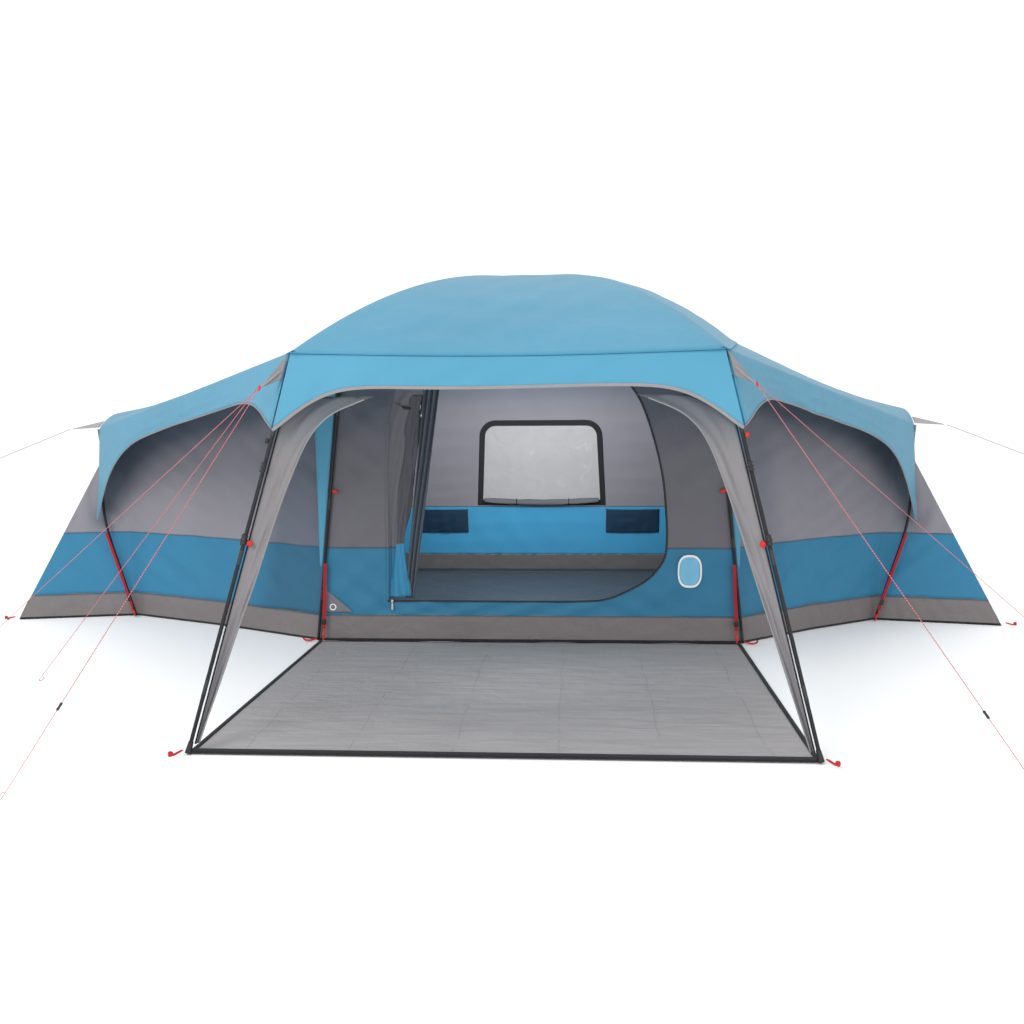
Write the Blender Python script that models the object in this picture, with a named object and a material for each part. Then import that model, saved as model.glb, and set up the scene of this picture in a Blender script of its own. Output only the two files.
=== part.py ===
"""Cabin dome tent with a porch and two side pods, metres, +Z up, front towards -Y.

Origin: centre of the main room's floor, on the ground. Every fabric panel is a thin closed sheet, every
pole and cord a swept tube, so each object below is one closed body.
"""

import math

import bpy
import numpy as np
from mathutils import Vector
from mathutils.geometry import tessellate_polygon

# ---- driving sizes ----
ROOM_HALF = 1.2585       # half width of the main room at the floor
ROOM_FRONT = -1.25       # front wall of the main room
ROOM_BACK = 1.25         # back wall of the main room at the floor
SIDE_LEAN = 0.108        # inward lean of the room's side edges per metre of height
BACK_LEAN = 0.21         # forward lean of the back wall per metre of height
PORCH_FRONT = -3.30      # line of the two porch legs
SKIRT_Z = 0.157          # top of the groundsheet's upstand
BAND_Z = 0.559           # seam between lower and upper wall cloth
POD_EXTRA_LEFT = 0.4645  # the left pod is longer than the right one
POD_FOOT_X = 2.20
POD_END_X = 2.945
SHOULDER = (2.433, 0.504, 1.25)
HUB_X, HUB_Z = 0.900, 1.634
RIDGE_MID_Y = -1.025
RIDGE_REACH = 1.995
DOME_RISE = 0.500
POLE_R = 0.0085
CLOTH = 0.0012
WALL = 0.0016
CORD_R = 0.0015
SEAM_GAP = 0.0008

for stale in list(bpy.data.objects):
    bpy.data.objects.remove(stale, do_unlink=True)


# ---- materials ----
def principled(name, rgb, rough=0.8, metal=0.0, alpha=1.0):
    mat = bpy.data.materials.new(name)
    mat.use_nodes = True
    shader = next(n for n in mat.node_tree.nodes if n.type == "BSDF_PRINCIPLED")
    shader.inputs["Base Color"].default_value = (*rgb, 1.0)
    shader.inputs["Roughness"].default_value = rough
    shader.inputs["Metallic"].default_value = metal
    shader.inputs["Alpha"].default_value = alpha
    return mat


BLUE = principled("fly_cloth_blue", (0.045, 0.29, 0.56), 0.6)
LOWER = principled("wall_cloth_blue", (0.04, 0.25, 0.47), 0.75)
GREY = principled("wall_cloth_grey", (0.17, 0.165, 0.175), 0.8)
PALE = principled("groundsheet_grey", (0.36, 0.34, 0.33), 0.6)
TRIM = principled("trim_cloth_grey", (0.30, 0.285, 0.28), 0.75)
BLACK = principled("pole_black", (0.012, 0.012, 0.013), 0.35)
TAPE = principled("tape_black", (0.015, 0.015, 0.017), 0.7)
NAVY = principled("pocket_navy", (0.01, 0.08, 0.17), 0.8)
RED = principled("plastic_red", (0.42, 0.015, 0.02), 0.45)
WEB = principled("webbing_red", (0.36, 0.012, 0.02), 0.85)
CORD = principled("guy_cord_red", (0.55, 0.16, 0.17), 0.85)
CLEAR = principled("window_film", (0.62, 0.63, 0.62), 0.3)
STEEL = principled("zip_metal", (0.55, 0.55, 0.56), 0.3, 1.0)
HARD = principled("plastic_black", (0.014, 0.014, 0.015), 0.5)


# ---- closed bodies ----
def solid(name, verts, tris, mat, smooth=False):
    """One object from vertices and outward or inward triangles, turned to face out."""
    verts = np.asarray(verts, float)
    tris = np.asarray(tris, int)
    a, b, c = (verts[tris[:, k]] for k in range(3))
    if np.einsum("ij,ij->i", a, np.cross(b, c)).sum() < 0:
        tris = tris[:, ::-1]
    mesh = bpy.data.meshes.new(name)
    mesh.from_pydata(verts.tolist(), [], tris.tolist())
    mesh.materials.append(mat)
    if smooth:
        mesh.polygons.foreach_set("use_smooth", [True] * len(mesh.polygons))
    mesh.update()
    obj = bpy.data.objects.new(name, mesh)
    bpy.context.scene.collection.objects.link(obj)
    return obj


def quad_tris(idx, closed=False):
    """Two triangles for each cell of an index grid."""
    if closed:
        idx = np.concatenate([idx, idx[:, :1]], axis=1)
    a, b, c, d = idx[:-1, :-1], idx[1:, :-1], idx[1:, 1:], idx[:-1, 1:]
    return np.concatenate([np.stack(t, -1).reshape(-1, 3) for t in ((a, b, c), (a, c, d))])


def rim_tris(loop, top, bottom):
    """A closed strip joining a boundary loop of the two skins."""
    nxt = np.roll(loop, -1)
    return np.concatenate([
        np.stack([top + loop, bottom + loop, bottom + nxt], -1),
        np.stack([top + loop, bottom + nxt, top + nxt], -1),
    ])


def sheet(name, grid, thick, mat, smooth=True):
    """A cloth panel: a grid of points thickened by half on either side along its own normals."""
    g = np.asarray(grid, float)
    nu, nv = g.shape[:2]
    n = np.cross(np.gradient(g, axis=0), np.gradient(g, axis=1))
    n /= np.linalg.norm(n, axis=-1, keepdims=True)
    verts = np.concatenate([(g + n * thick / 2).reshape(-1, 3), (g - n * thick / 2).reshape(-1, 3)])
    idx = np.arange(nu * nv).reshape(nu, nv)
    face = quad_tris(idx)
    loop = np.concatenate([idx[0, :-1], idx[:-1, -1], idx[-1, :0:-1], idx[:0:-1, 0]])
    # the two skins face apart, and the rim joins them
    edge = rim_tris(loop, 0, nu * nv)
    first = face[(face == loop[0]).any(1) & (face == loop[1]).any(1)][0]
    k = list(first).index(loop[0])
    forward = first[(k + 1) % 3] == loop[1]
    if forward:
        edge = edge[:, ::-1]
    return solid(name, verts, np.concatenate([face, face[:, ::-1] + nu * nv, edge[:, ::-1]]), mat, smooth)


def panel(name, outer, holes, place, thick, mat):
    """A flat panel from 2-D loops: place(u, v, w) puts it in space, w runs through its thickness."""
    loops = [outer, *holes]
    tris = tessellate_polygon([[Vector((u, v, 0)) for u, v in loop] for loop in loops])
    flat = [p for loop in loops for p in loop]
    n = len(flat)
    verts = [place(u, v, 0.0) for u, v in flat] + [place(u, v, thick) for u, v in flat]
    pts = np.array(flat)
    faces = []
    for t in tris:
        a, b, c = (pts[k] for k in t)
        up = (b[0] - a[0]) * (c[1] - a[1]) - (b[1] - a[1]) * (c[0] - a[0]) > 0
        t = tuple(t) if up else (t[0], t[2], t[1])
        faces.append(t)
        faces.append((t[0] + n, t[2] + n, t[1] + n))
    start = 0
    for k, loop in enumerate(loops):
        m = len(loop)
        area = sum(loop[i][0] * loop[(i + 1) % m][1] - loop[(i + 1) % m][0] * loop[i][1] for i in range(m))
        ccw = (area > 0) == (k == 0)
        for i in range(m):
            a, b = start + i, start + (i + 1) % m
            if not ccw:
                a, b = b, a
            faces += [(b, a, a + n), (b, a + n, b + n)]
        start += m
    return solid(name, verts, faces, mat)


def frames(path, seed=(0.0, 0.0, 1.0)):
    """Two unit cross directions at each point of a path, carried along it without twist."""
    p = np.asarray(path, float)
    t = np.gradient(p, axis=0)
    t /= np.linalg.norm(t, axis=1, keepdims=True)
    s = np.array(seed, float)
    if abs(t[0] @ s) > 0.9:
        s = np.array([1.0, 0.0, 0.0])
    a = []
    for k in range(len(p)):
        s = s - (s @ t[k]) * t[k]
        s /= np.linalg.norm(s)
        a.append(s.copy())
    a = np.array(a)
    return t, a, np.cross(t, a)


def tube(name, path, radius, mat, sides=8, flat=1.0):
    """A round bar (or an oval one, flat < 1) swept along a path, with flat ends."""
    p = np.asarray(path, float)
    radius = np.broadcast_to(radius, len(p))[:, None, None]
    _, a, b = frames(p)
    w = np.arange(sides) / sides * 2 * math.pi
    ring = a[:, None] * np.cos(w)[None, :, None] + b[:, None] * (flat * np.sin(w))[None, :, None]
    verts = np.concatenate([(p[:, None] + ring * radius).reshape(-1, 3), p[:1], p[-1:]])
    idx = np.arange(len(p) * sides).reshape(len(p), sides)
    c0, c1 = len(p) * sides, len(p) * sides + 1
    nxt = np.roll(np.arange(sides), -1)
    caps = [(c0, idx[0, nxt[k]], idx[0, k]) for k in range(sides)]
    caps += [(c1, idx[-1, k], idx[-1, nxt[k]]) for k in range(sides)]
    side = quad_tris(idx, closed=True)
    side = side[:, ::-1]
    return solid(name, verts, np.concatenate([side, caps]), mat, True)


def sleeve(name, centre, axis, r_in, r_out, length, mat, sides=12):
    """A short tube with a bore along an axis."""
    axis = np.array(axis, float) / np.linalg.norm(axis)
    c = np.array(centre, float)
    _, a, b = frames(np.array([c - axis, c, c + axis]))
    w = np.arange(sides) / sides * 2 * math.pi
    round_ = a[1] * np.cos(w)[:, None] + b[1] * np.sin(w)[:, None]
    h = axis * length / 2
    rings = [c - h + round_ * r_out, c + h + round_ * r_out, c + h + round_ * r_in, c - h + round_ * r_in]
    idx = np.arange(4 * sides).reshape(4, sides)
    idx = np.concatenate([idx, idx[:1]])
    return solid(name, np.concatenate(rings), quad_tris(idx, closed=True), mat, True)


def band(name, stations, mat):
    """A strap or stake: rectangles (centre, half side, half face) joined in order."""
    verts = []
    for c, u, v in stations:
        c, u, v = (np.array(x, float) for x in (c, u, v))
        verts += [c - u - v, c + u - v, c + u + v, c - u + v]
    idx = np.arange(len(stations) * 4).reshape(-1, 4)
    last = idx[-1]
    caps = [(0, 1, 2), (0, 2, 3), (last[0], last[2], last[1]), (last[0], last[3], last[2])]
    side = quad_tris(idx, closed=True)
    return solid(name, verts, np.concatenate([side, caps]), mat)


# ---- shared curves ----
def lerp(a, b, t):
    a, b = np.asarray(a, float), np.asarray(b, float)
    return a + (b - a) * t


def left_extra(side, share):
    return POD_EXTRA_LEFT * share if side < 0 else 0.0


def ridge(side, end, t):
    """Cloth line over a main pole, from a hub (t = 0) to the peak (t = 1)."""
    return np.array([side * HUB_X * (1 - t), RIDGE_MID_Y + end * RIDGE_REACH * (1 - t),
                     HUB_Z + DOME_RISE * (1 - (1 - t) ** 2.15)])


def side_gore(side, t, v):
    """Dome cloth between the front and rear ridge of one side: bulged outwards and upwards."""
    p = lerp(ridge(side, -1, t), ridge(side, 1, t), v)
    swell = math.sin(math.pi * v) * (1 - t)
    return p + np.array([side * 0.24 * swell, 0.0, 0.11 * swell])


def end_gore(end, t, s):
    """Dome cloth between the two ridges of the front or the rear, sagging a little between them."""
    p = lerp(ridge(-1, end, t), ridge(1, end, t), s)
    return p - np.array([0.0, 0.0, 0.018 * math.sin(math.pi * s) * (1 - t)])


FOOT_X = {-1: 1.296, 1: 1.256}


def leg_point(side, end, z):
    """Centre line of a leg pole between its foot and the hub."""
    foot = (side * FOOT_X[side], PORCH_FRONT, 0.0) if end < 0 else (side * 1.30, ROOM_BACK + 0.045, 0.0)
    return lerp(foot, hub_pole(side, end), z / hub_pole(side, end)[2])


def hub_pole(side, end):
    return ridge(side, end, 0.0) + np.array([-side * 0.012, -end * 0.012, -0.014])


def pod_arch(side, v):
    """Cloth line over a pod's arch from its front shoulder (0) to its rear shoulder (1)."""
    x, y, z = SHOULDER
    up = math.sin(math.pi * v)
    return np.array([side * (x + 0.05 * up + left_extra(side, 1.0)), -y + 2 * y * v, z + 0.105 * up ** 0.8])


def arch_pole_xy(z):
    return ROOM_HALF - SIDE_LEAN * z


# ---- fly sheet ----
SEGS = 8
levels = [0.0, 0.05, 0.13, 0.24, 0.37, 0.52, 0.68, 0.84, 0.95]
rings = []
for t in levels:
    steps = [k / SEGS for k in range(SEGS)]
    loop = [end_gore(-1, t, s) for s in steps]
    loop += [side_gore(1, t, s) for s in steps]
    loop += [end_gore(1, t, 1 - s) for s in steps]
    loop += [side_gore(-1, t, 1 - s) for s in steps]
    rings.append(loop)
rings = np.array(rings)
n_ring = rings.shape[1]
shell = np.concatenate([rings.reshape(-1, 3), [ridge(1, 1, 1.0)]])
idx = np.arange(len(levels) * n_ring).reshape(len(levels), n_ring)
apex = len(shell) - 1
skin = np.concatenate([quad_tris(idx, closed=True)[:, ::-1],
                       [(apex, idx[-1, k], idx[-1, (k + 1) % n_ring]) for k in range(n_ring)]])
drop = np.array([0.0, 0.0, CLOTH * 1.6])
rim = rim_tris(idx[0], 0, len(shell))
solid("fly_roof", np.concatenate([shell, shell - drop]),
      np.concatenate([skin, skin[:, ::-1] + len(shell), rim]), BLUE, True)


def valance_low(s):
    """Depth of the front valance below its seam: level in the middle, reaching down at both legs."""
    edge = min(s, 1 - s) * 2 * HUB_X
    return 0.128 + 0.19 * math.exp(-((edge / 0.12) ** 1.3))


for end, label in ((-1, "front"), (1, "rear")):
    grid = []
    for k in range(25):
        s = 0.5 - 0.5 * math.cos(math.pi * k / 24)
        s = 0.004 + 0.992 * s
        top = end_gore(end, 0.0, s) + np.array([0.0, end * 0.003, -0.003])
        deep = valance_low(s)
        mix = (deep - 0.128) / 0.19
        side = 1 if s > 0.5 else -1
        shift = np.array([side * 0.070 * mix, end * (0.012 + 0.054 * mix), 0.0])
        grid.append([top + f * (shift - np.array([0, 0, deep])) for f in (0.0, 0.35, 0.7, 1.0)])
    sheet(f"fly_valance_{label}", grid, CLOTH, BLUE)


def pod_drop(u):
    """Depth of the cloth below the fold that runs from the hub (u = 0) to the shoulder (u = 1)."""
    return 0.14 + 0.168 * math.exp(-((u / 0.075) ** 1.5)) + 0.46 * u ** 10


def pod_fold(side, u, v):
    eave = side_gore(side, 0.0, v) + np.array([side * 0.004, 0.0, -0.003])
    return lerp(eave, pod_arch(side, v), u) - np.array([0, 0, 0.05 * math.sin(math.pi * u) * math.sin(math.pi * v)])


def pod_column(side, u, skirt=(1.0, 0.66, 0.33)):
    column = []
    for end in (-1, 1):
        fold = pod_fold(side, u, 0.0 if end < 0 else 1.0)
        near = math.exp(-u / 0.15)
        low = np.array([side * 0.070 * near, end * (0.054 * near + 0.085 * u ** 6), -pod_drop(u)])
        part = [fold + low * f for f in skirt]
        column.append(part if end < 0 else part[::-1])
    roof = [pod_fold(side, u, k / SEGS) for k in range(SEGS + 1)]
    return column[0] + roof + column[1]


for side, tag in ((-1, "left"), (1, "right")):
    us = [0.0, 0.04, 0.1, 0.2, 0.35, 0.5, 0.65, 0.78, 0.88, 0.95, 1.0]
    grid = [pod_column(side, u) for u in us]
    # the end hangs over the arch as a band, widest across the top and fading to the tips
    share = [1.0, 0.66, 0.33] + [0.0] * (SEGS + 1) + [0.33, 0.66, 1.0]
    turn = [1] * 3 + [0] * (SEGS + 1) + [-1] * 3
    grid.append([p + np.array([side * 0.012, turn[k] * (0.008 + 0.045 * (1 - f)), -0.09 if turn[k] == 0 else 0.0])
                 for k, (p, f) in enumerate(zip(grid[-1], share))])
    grid = np.array(grid)
    sheet(f"fly_pod_{tag}", grid, CLOTH, BLUE)

    # narrow fly strip that comes down beside the room's front pole
    grid = []
    for k in range(5):
        z = 0.45 + (1.56 - 0.45) * k / 4
        inner = arch_pole_xy(z) + 0.012 + 0.0015 * k
        wide = 0.012 + 0.115 * (z - 0.45)
        grid.append([(side * (inner + wide * f), ROOM_FRONT - 0.022, z) for f in (0.0, 1.0)])
    sheet(f"fly_strip_{tag}", grid, CLOTH, BLUE)


# ---- poles ----
def cross_pole(name, side, dip):
    """One long pole: porch foot, hub, over the peak, rear hub of the other side, rear foot."""
    path = [leg_point(side, -1, z) for z in np.linspace(0.004, 1.50, 5)]
    ts = [0.0, 0.05, 0.13, 0.24, 0.37, 0.52, 0.68, 0.84, 0.95, 1.0]
    for end, order in ((-1, ts), (1, ts[-2::-1])):
        which = side if end < 0 else -side
        for t in order:
            low = 0.014 + dip * max(0.0, (t - 0.6) / 0.4)
            path.append(ridge(which, end, t) + np.array([-which * 0.012, -end * 0.012, 0.0]) * (1 - t)
                        - np.array([0, 0, low]))
    path += [leg_point(-side, 1, z) for z in np.linspace(1.50, 0.004, 5)]
    tube(name, path, POLE_R, BLACK)


cross_pole("main_pole_a", -1, 0.020)
cross_pole("main_pole_b", 1, 0.0)

POLE_Y = ROOM_FRONT - 0.020
half = [(arch_pole_xy(z), z) for z in (0.004, 0.4, 0.8, 1.2, 1.5)]
for t in (0.0, 0.06, 0.14, 0.25, 0.4, 0.58, 0.75, 0.86):
    v = (POLE_Y - ridge(1, -1, t)[1]) / (ridge(1, 1, t)[1] - ridge(1, -1, t)[1])
    x, _, z = side_gore(1, t, v)
    half.append((x - 0.03 * (1 - t), z - 0.040 - 0.03 * t))
half.append((0.0, half[-1][1] + 0.004))
ARCH = [(x, z) for x, z in half]
path = [(-x, POLE_Y, z) for x, z in half[:-1]] + [(x, POLE_Y, z) for x, z in half[::-1]]
tube("room_arch_pole", path, POLE_R, BLACK)

for side, tag in ((-1, "left"), (1, "right")):
    def pod_xyz(x, y, z, side=side, share=1.0):
        return np.array([side * (x + left_extra(side, share)), y, z])
    up = [pod_xyz(POD_FOOT_X, -0.594, 0.004), pod_xyz(2.29, -0.59, 0.30), pod_xyz(2.395, -0.566, 0.65),
          pod_xyz(2.418, -0.528, 1.00)]
    over = [pod_arch(side, k / 16) + np.array([-side * 0.016, 0.010 * (1 if k < 8 else -1 if k > 8 else 0), -0.019])
            for k in range(1, 16)]
    down = [p * np.array([1, -1, 1]) for p in up[::-1]]
    tube(f"pod_pole_{tag}", up + over + down, POLE_R, BLACK)

# ---- walls ----
OUTLINE = [(ROOM_HALF, ROOM_FRONT), (1.75, -0.86), (POD_FOOT_X, -0.56), (POD_END_X, -0.72),
           (POD_END_X + 0.02, 0.0), (POD_END_X, 0.72), (POD_FOOT_X, 0.56), (1.75, 0.86), (ROOM_HALF, ROOM_BACK)]
TOPS = [(ROOM_HALF - SIDE_LEAN * 1.55, -1.246, 1.55), (1.66, -0.80, 1.42), (2.335, -0.445, 1.19), (2.37, -0.425, 1.20),
        (2.395, 0.0, 1.29), (2.37, 0.425, 1.20), (2.335, 0.445, 1.19), (1.66, 0.66, 1.36),
        (ROOM_HALF - SIDE_LEAN * 1.30, ROOM_BACK - BACK_LEAN * 1.30, 1.30)]


def pod_share(x):
    return min(1.0, max(0.0, (x - ROOM_HALF) / (POD_FOOT_X - ROOM_HALF)))


def wall_line(side, k, z):
    """Point at height z on the k-th upright line of a pod's wall."""
    low = np.array([*OUTLINE[k], 0.0])
    top = np.array(TOPS[k])
    share = pod_share(low[0])
    p = lerp(low, top, z / top[2])
    return np.array([side * (p[0] + left_extra(side, share)), p[1], p[2]])


def wall_strip(side, z_low, z_high, rows):
    """Pod wall between two heights (z_high None: up to its top edge), with two cells per facet."""
    grid = []
    last = len(OUTLINE) - 1
    for c in range(2 * last + 1):
        k, half_way = divmod(c, 2)
        column = []
        for r in range(rows + 1):
            pair = []
            for j in (k, min(k + 1, last)):
                z_top = TOPS[j][2] if z_high is None else z_high
                pair.append(wall_line(side, j, z_low + (z_top - z_low) * r / rows))
            p = lerp(pair[0], pair[1], half_way / 2)
            if c == 0:
                p = p + np.array([side * 0.005, 0.002, 0.0])
            if c == 2 * last:
                p = p + np.array([side * 0.005, -0.002, 0.0])
            column.append(p)
        grid.append(column)
    return grid


for side, tag in ((-1, "left"), (1, "right")):
    sheet(f"pod_wall_lower_{tag}", wall_strip(side, SKIRT_Z + SEAM_GAP, BAND_Z, 1), WALL, LOWER, False)
    sheet(f"pod_wall_upper_{tag}", wall_strip(side, BAND_Z + SEAM_GAP, None, 2), WALL, GREY, False)

# groundsheet with its upstand, one piece
corners = [(1, k) for k in range(len(OUTLINE))] + [(-1, k) for k in range(len(OUTLINE) - 1, -1, -1)]
base = np.array([wall_line(s, k, 0.0) for s, k in corners])
high = np.array([wall_line(s, k, SKIRT_Z) for s, k in corners])
inset = []
for k in range(len(base)):
    before, after = base[k] - base[k - 1], base[(k + 1) % len(base)] - base[k]
    n1 = np.array([-before[1], before[0], 0]) / np.linalg.norm(before[:2])
    n2 = np.array([-after[1], after[0], 0]) / np.linalg.norm(after[:2])
    inset.append((n1 + n2) / (1 + n1 @ n2) * 0.0026)
inset = np.array(inset)
up = np.array([0, 0, 0.002])
n = len(base)
verts = np.concatenate([base, high, high + inset, base + inset + up, [[-0.25, 0, 0]], [[-0.25, 0, 0.002]]])
idx = np.arange(4 * n).reshape(4, n)
fan = [(4 * n, idx[0, (k + 1) % n], idx[0, k]) for k in range(n)]
fan += [(4 * n + 1, idx[3, k], idx[3, (k + 1) % n]) for k in range(n)]
# the upstand's inner face is split along the same diagonals as its outer one, so that its thickness stays even
tub_tris = np.concatenate([quad_tris(idx[:3], closed=True)[:, ::-1], quad_tris(idx[[3, 2]], closed=True), fan])
solid("groundsheet_tub", verts, tub_tris, PALE)

# door opening: straight left edge and sill, round at the lower right, leaning right edge
DOOR_LEFT, DOOR_SILL = -0.837, 0.240
DOOR_RIGHT_LINE = [(0.30, 0.242), (0.468, 0.258), (0.599, 0.312), (0.700, 0.372), (0.765, 0.440), (0.801, 0.505)]
DOOR_UPPER_LINE = [(0.813, 0.592), (0.810, 0.740), (0.790, 0.960), (0.735, 1.200), (0.650, 1.430), (0.520, 1.600),
                   (0.30, 1.69), (-0.30, 1.71), (-0.62, 1.66), (-0.76, 1.52), (-0.812, 1.30), (-0.828, 1.0)]


def door_x(points, z):
    xs = [p[0] for p in points]
    zs = [p[1] for p in points]
    return float(np.interp(z, zs, xs))


def front_place(u, v, w):
    return (u, ROOM_FRONT + w, v)


edge = 0.004
low_z = SKIRT_Z + SEAM_GAP
cut_right = door_x(DOOR_RIGHT_LINE + DOOR_UPPER_LINE[:1], BAND_Z)
lower = [(-(arch_pole_xy(low_z) - edge), low_z), (arch_pole_xy(low_z) - edge, low_z),
         (arch_pole_xy(BAND_Z) - edge, BAND_Z), (cut_right, BAND_Z)]
lower += [(x, z) for x, z in DOOR_RIGHT_LINE[::-1] if z < BAND_Z - 0.01]
lower += [(DOOR_LEFT, DOOR_SILL), (DOOR_LEFT + 0.006, BAND_Z), (-(arch_pole_xy(BAND_Z) - edge), BAND_Z)]
panel("front_wall_lower", lower, [], front_place, WALL, LOWER)

high_z = BAND_Z + SEAM_GAP
upper = [(arch_pole_xy(high_z) - edge, high_z), (arch_pole_xy(1.45) - edge, 1.45)]
crown = [(x * 0.97 - 0.01, z - 0.045) for x, z in ARCH[5:-1]]
upper += crown + [(-x, z) for x, z in crown[::-1]]
upper += [(-(arch_pole_xy(1.45) - edge), 1.45), (-(arch_pole_xy(high_z) - edge), high_z)]
upper += [(DOOR_LEFT + 0.006, high_z)] + DOOR_UPPER_LINE[:0:-1] + [(cut_right, high_z)]
panel("front_wall_upper", upper, [], front_place, WALL, GREY)


def back_place(u, v, w):
    return (u, ROOM_BACK - BACK_LEAN * v - w, v)


lean_x = lambda z: ROOM_HALF - SIDE_LEAN * z - edge
panel("back_wall_lower", [(-lean_x(low_z), low_z), (lean_x(low_z), low_z), (lean_x(BAND_Z), BAND_Z),
                          (-lean_x(BAND_Z), BAND_Z)], [], back_place, WALL, LOWER)


def rounded(x0, x1, z0, z1, r, top_in=0.0, steps=4):
    """A window outline: square lower corners, round upper ones, narrowing upwards by top_in."""
    pts = [(x0, z0), (x1, z0)]
    for cx, a0 in ((x1 - r - top_in, 0.0), (x0 + r + top_in, 0.5)):
        for k in range(steps + 1):
            a = math.pi * (a0 + 0.5 * k / steps)
            pts.append((cx + r * math.cos(a), z1 - r + r * math.sin(a)))
    return pts


WIN = (-0.519, 0.519, BAND_Z + 0.012, 1.262)
hole = rounded(WIN[0] + 0.02, WIN[1] - 0.02, WIN[2] + 0.02, WIN[3] - 0.02, 0.11, 0.03)
back_top = [(-lean_x(high_z), high_z), (lean_x(high_z), high_z), (lean_x(1.29), 1.29), (0.92, 1.30),
            (0.85, 1.58), (-0.85, 1.58), (-0.92, 1.30), (-lean_x(1.29), 1.29)]
panel("back_wall_upper", back_top, [hole[::-1]], back_place, WALL, GREY)
pane = rounded(WIN[0] + 0.022, WIN[1] - 0.022, WIN[2] + 0.022, WIN[3] - 0.022, 0.108, 0.03)
panel("window_pane", pane, [], back_place, 0.0006, CLEAR)
frame_out = rounded(*WIN[:2], WIN[2], WIN[3], 0.13, 0.03)
frame_in = rounded(WIN[0] + 0.045, WIN[1] - 0.045, WIN[2] + 0.045, WIN[3] - 0.045, 0.085, 0.03)


def frame_place(u, v, w):
    x, y, z = back_place(u, v, w)
    return (x, y - WALL - 0.0008, z)


panel("window_frame", frame_out, [frame_in[::-1]], frame_place, 0.003, TAPE)
roll = [(x, ROOM_BACK - BACK_LEAN * z - 0.042, z) for x, z in
        ((x, 0.618 - 0.022 * math.cos(math.pi * x / 1.0)) for x in np.linspace(-0.46, 0.46, 9))]
tube("window_flap_roll", roll, [0.018, 0.026, 0.029, 0.031, 0.032, 0.031, 0.029, 0.026, 0.018], TAPE, 10)


def pocket(name, x0, x1, z0, z1):
    """An open-topped pocket sewn to the inside of the back wall."""
    deep, skin = 0.050, 0.0012
    verts = []
    for (a, b, y0, y1, lo) in ((x0, x1, 0.0, deep, z0), (x0 + skin, x1 - skin, skin, deep - skin, z0 + skin)):
        for z in (lo, z1):
            base_y = ROOM_BACK - BACK_LEAN * z - WALL - 0.0012
            verts += [(a, base_y - y0, z), (b, base_y - y0, z), (b, base_y - y1, z), (a, base_y - y1, z)]
    quads = [(0, 1, 2, 3), (8, 11, 10, 9)]
    for k in range(4):
        j = (k + 1) % 4
        quads += [(k, k + 4, j + 4, j), (8 + k, 8 + j, 12 + j, 12 + k), (4 + k, 12 + k, 12 + j, 4 + j)]
    tris = [t for q in quads for t in ((q[0], q[1], q[2]), (q[0], q[2], q[3]))]
    solid(name, verts, tris, NAVY)


pocket("pocket_left", -1.02, -0.60, 0.345, 0.535)
pocket("pocket_right", 0.52, 0.95, 0.345, 0.535)

# ---- door pieces ----
track = [(DOOR_LEFT, DOOR_SILL), (-0.30, DOOR_SILL)] + DOOR_RIGHT_LINE + DOOR_UPPER_LINE[:6]
track = [(x, ROOM_FRONT - 0.005, z) for x, z in track]
tube("door_zip_track", track, 0.0035, TAPE, 6)

SLIDER_X, SLIDER_Y = DOOR_LEFT + 0.030, ROOM_FRONT - 0.0135
band("zip_slider", [
    ((SLIDER_X, SLIDER_Y, DOOR_SILL + 0.010), (0.0055, 0, 0), (0, 0.0025, 0)),
    ((SLIDER_X, SLIDER_Y, DOOR_SILL + 0.004), (0.0080, 0, 0), (0, 0.0040, 0)),
    ((SLIDER_X, SLIDER_Y, DOOR_SILL - 0.008), (0.0065, 0, 0), (0, 0.0040, 0)),
    ((SLIDER_X, SLIDER_Y - 0.001, DOOR_SILL - 0.012), (0.0030, 0, 0), (0, 0.0012, 0)),
    ((SLIDER_X, SLIDER_Y - 0.001, DOOR_SILL - 0.018), (0.0050, 0, 0), (0, 0.0012, 0)),
    ((SLIDER_X, SLIDER_Y - 0.001, DOOR_SILL - 0.046), (0.0055, 0, 0), (0, 0.0012, 0)),
    ((SLIDER_X, SLIDER_Y - 0.001, DOOR_SILL - 0.052), (0.0030, 0, 0), (0, 0.0012, 0)),
], STEEL)

roll = [(-0.800 + 0.012 * math.sin(5 * z), ROOM_FRONT + 0.052, z) for z in np.linspace(0.262, 1.46, 9)]
tube("door_roll", roll, [0.040, 0.052, 0.050, 0.052, 0.056, 0.060, 0.062, 0.056, 0.040], GREY, 12, 0.6)
band("door_tie_toggle", [
    ((-0.742, ROOM_FRONT + 0.004, 1.395), (0.006, 0, 0), (0, 0.0015, 0)),
    ((-0.740, ROOM_FRONT + 0.004, 1.385), (0.022, 0, 0), (0, 0.0015, 0)),
    ((-0.738, ROOM_FRONT + 0.004, 1.373), (0.022, 0, 0), (0, 0.0015, 0)),
    ((-0.736, ROOM_FRONT + 0.004, 1.355), (0.005, 0, 0), (0, 0.0015, 0)),
], HARD)
grid = []
for k in range(9):
    z = 0.25 + 1.22 * k / 8
    x0 = -0.735 + 0.030 * k / 8
    grid.append([(x0 + (0.055 + 0.055 * k / 8) * f, ROOM_FRONT + 0.045 + 0.022 * math.sin(9 * f), z)
                 for f in np.linspace(0, 1, 6)])
sheet("door_curtain", grid, CLOTH, GREY)

# ---- porch ----
mat_corners = [(-1.290, PORCH_FRONT + 0.012), (1.250, PORCH_FRONT + 0.012), (1.236, ROOM_FRONT - 0.035),
               (-1.236, ROOM_FRONT - 0.035)]
panel("porch_mat", mat_corners, [], lambda u, v, w: (u, v, w), 0.002, PALE)

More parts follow.
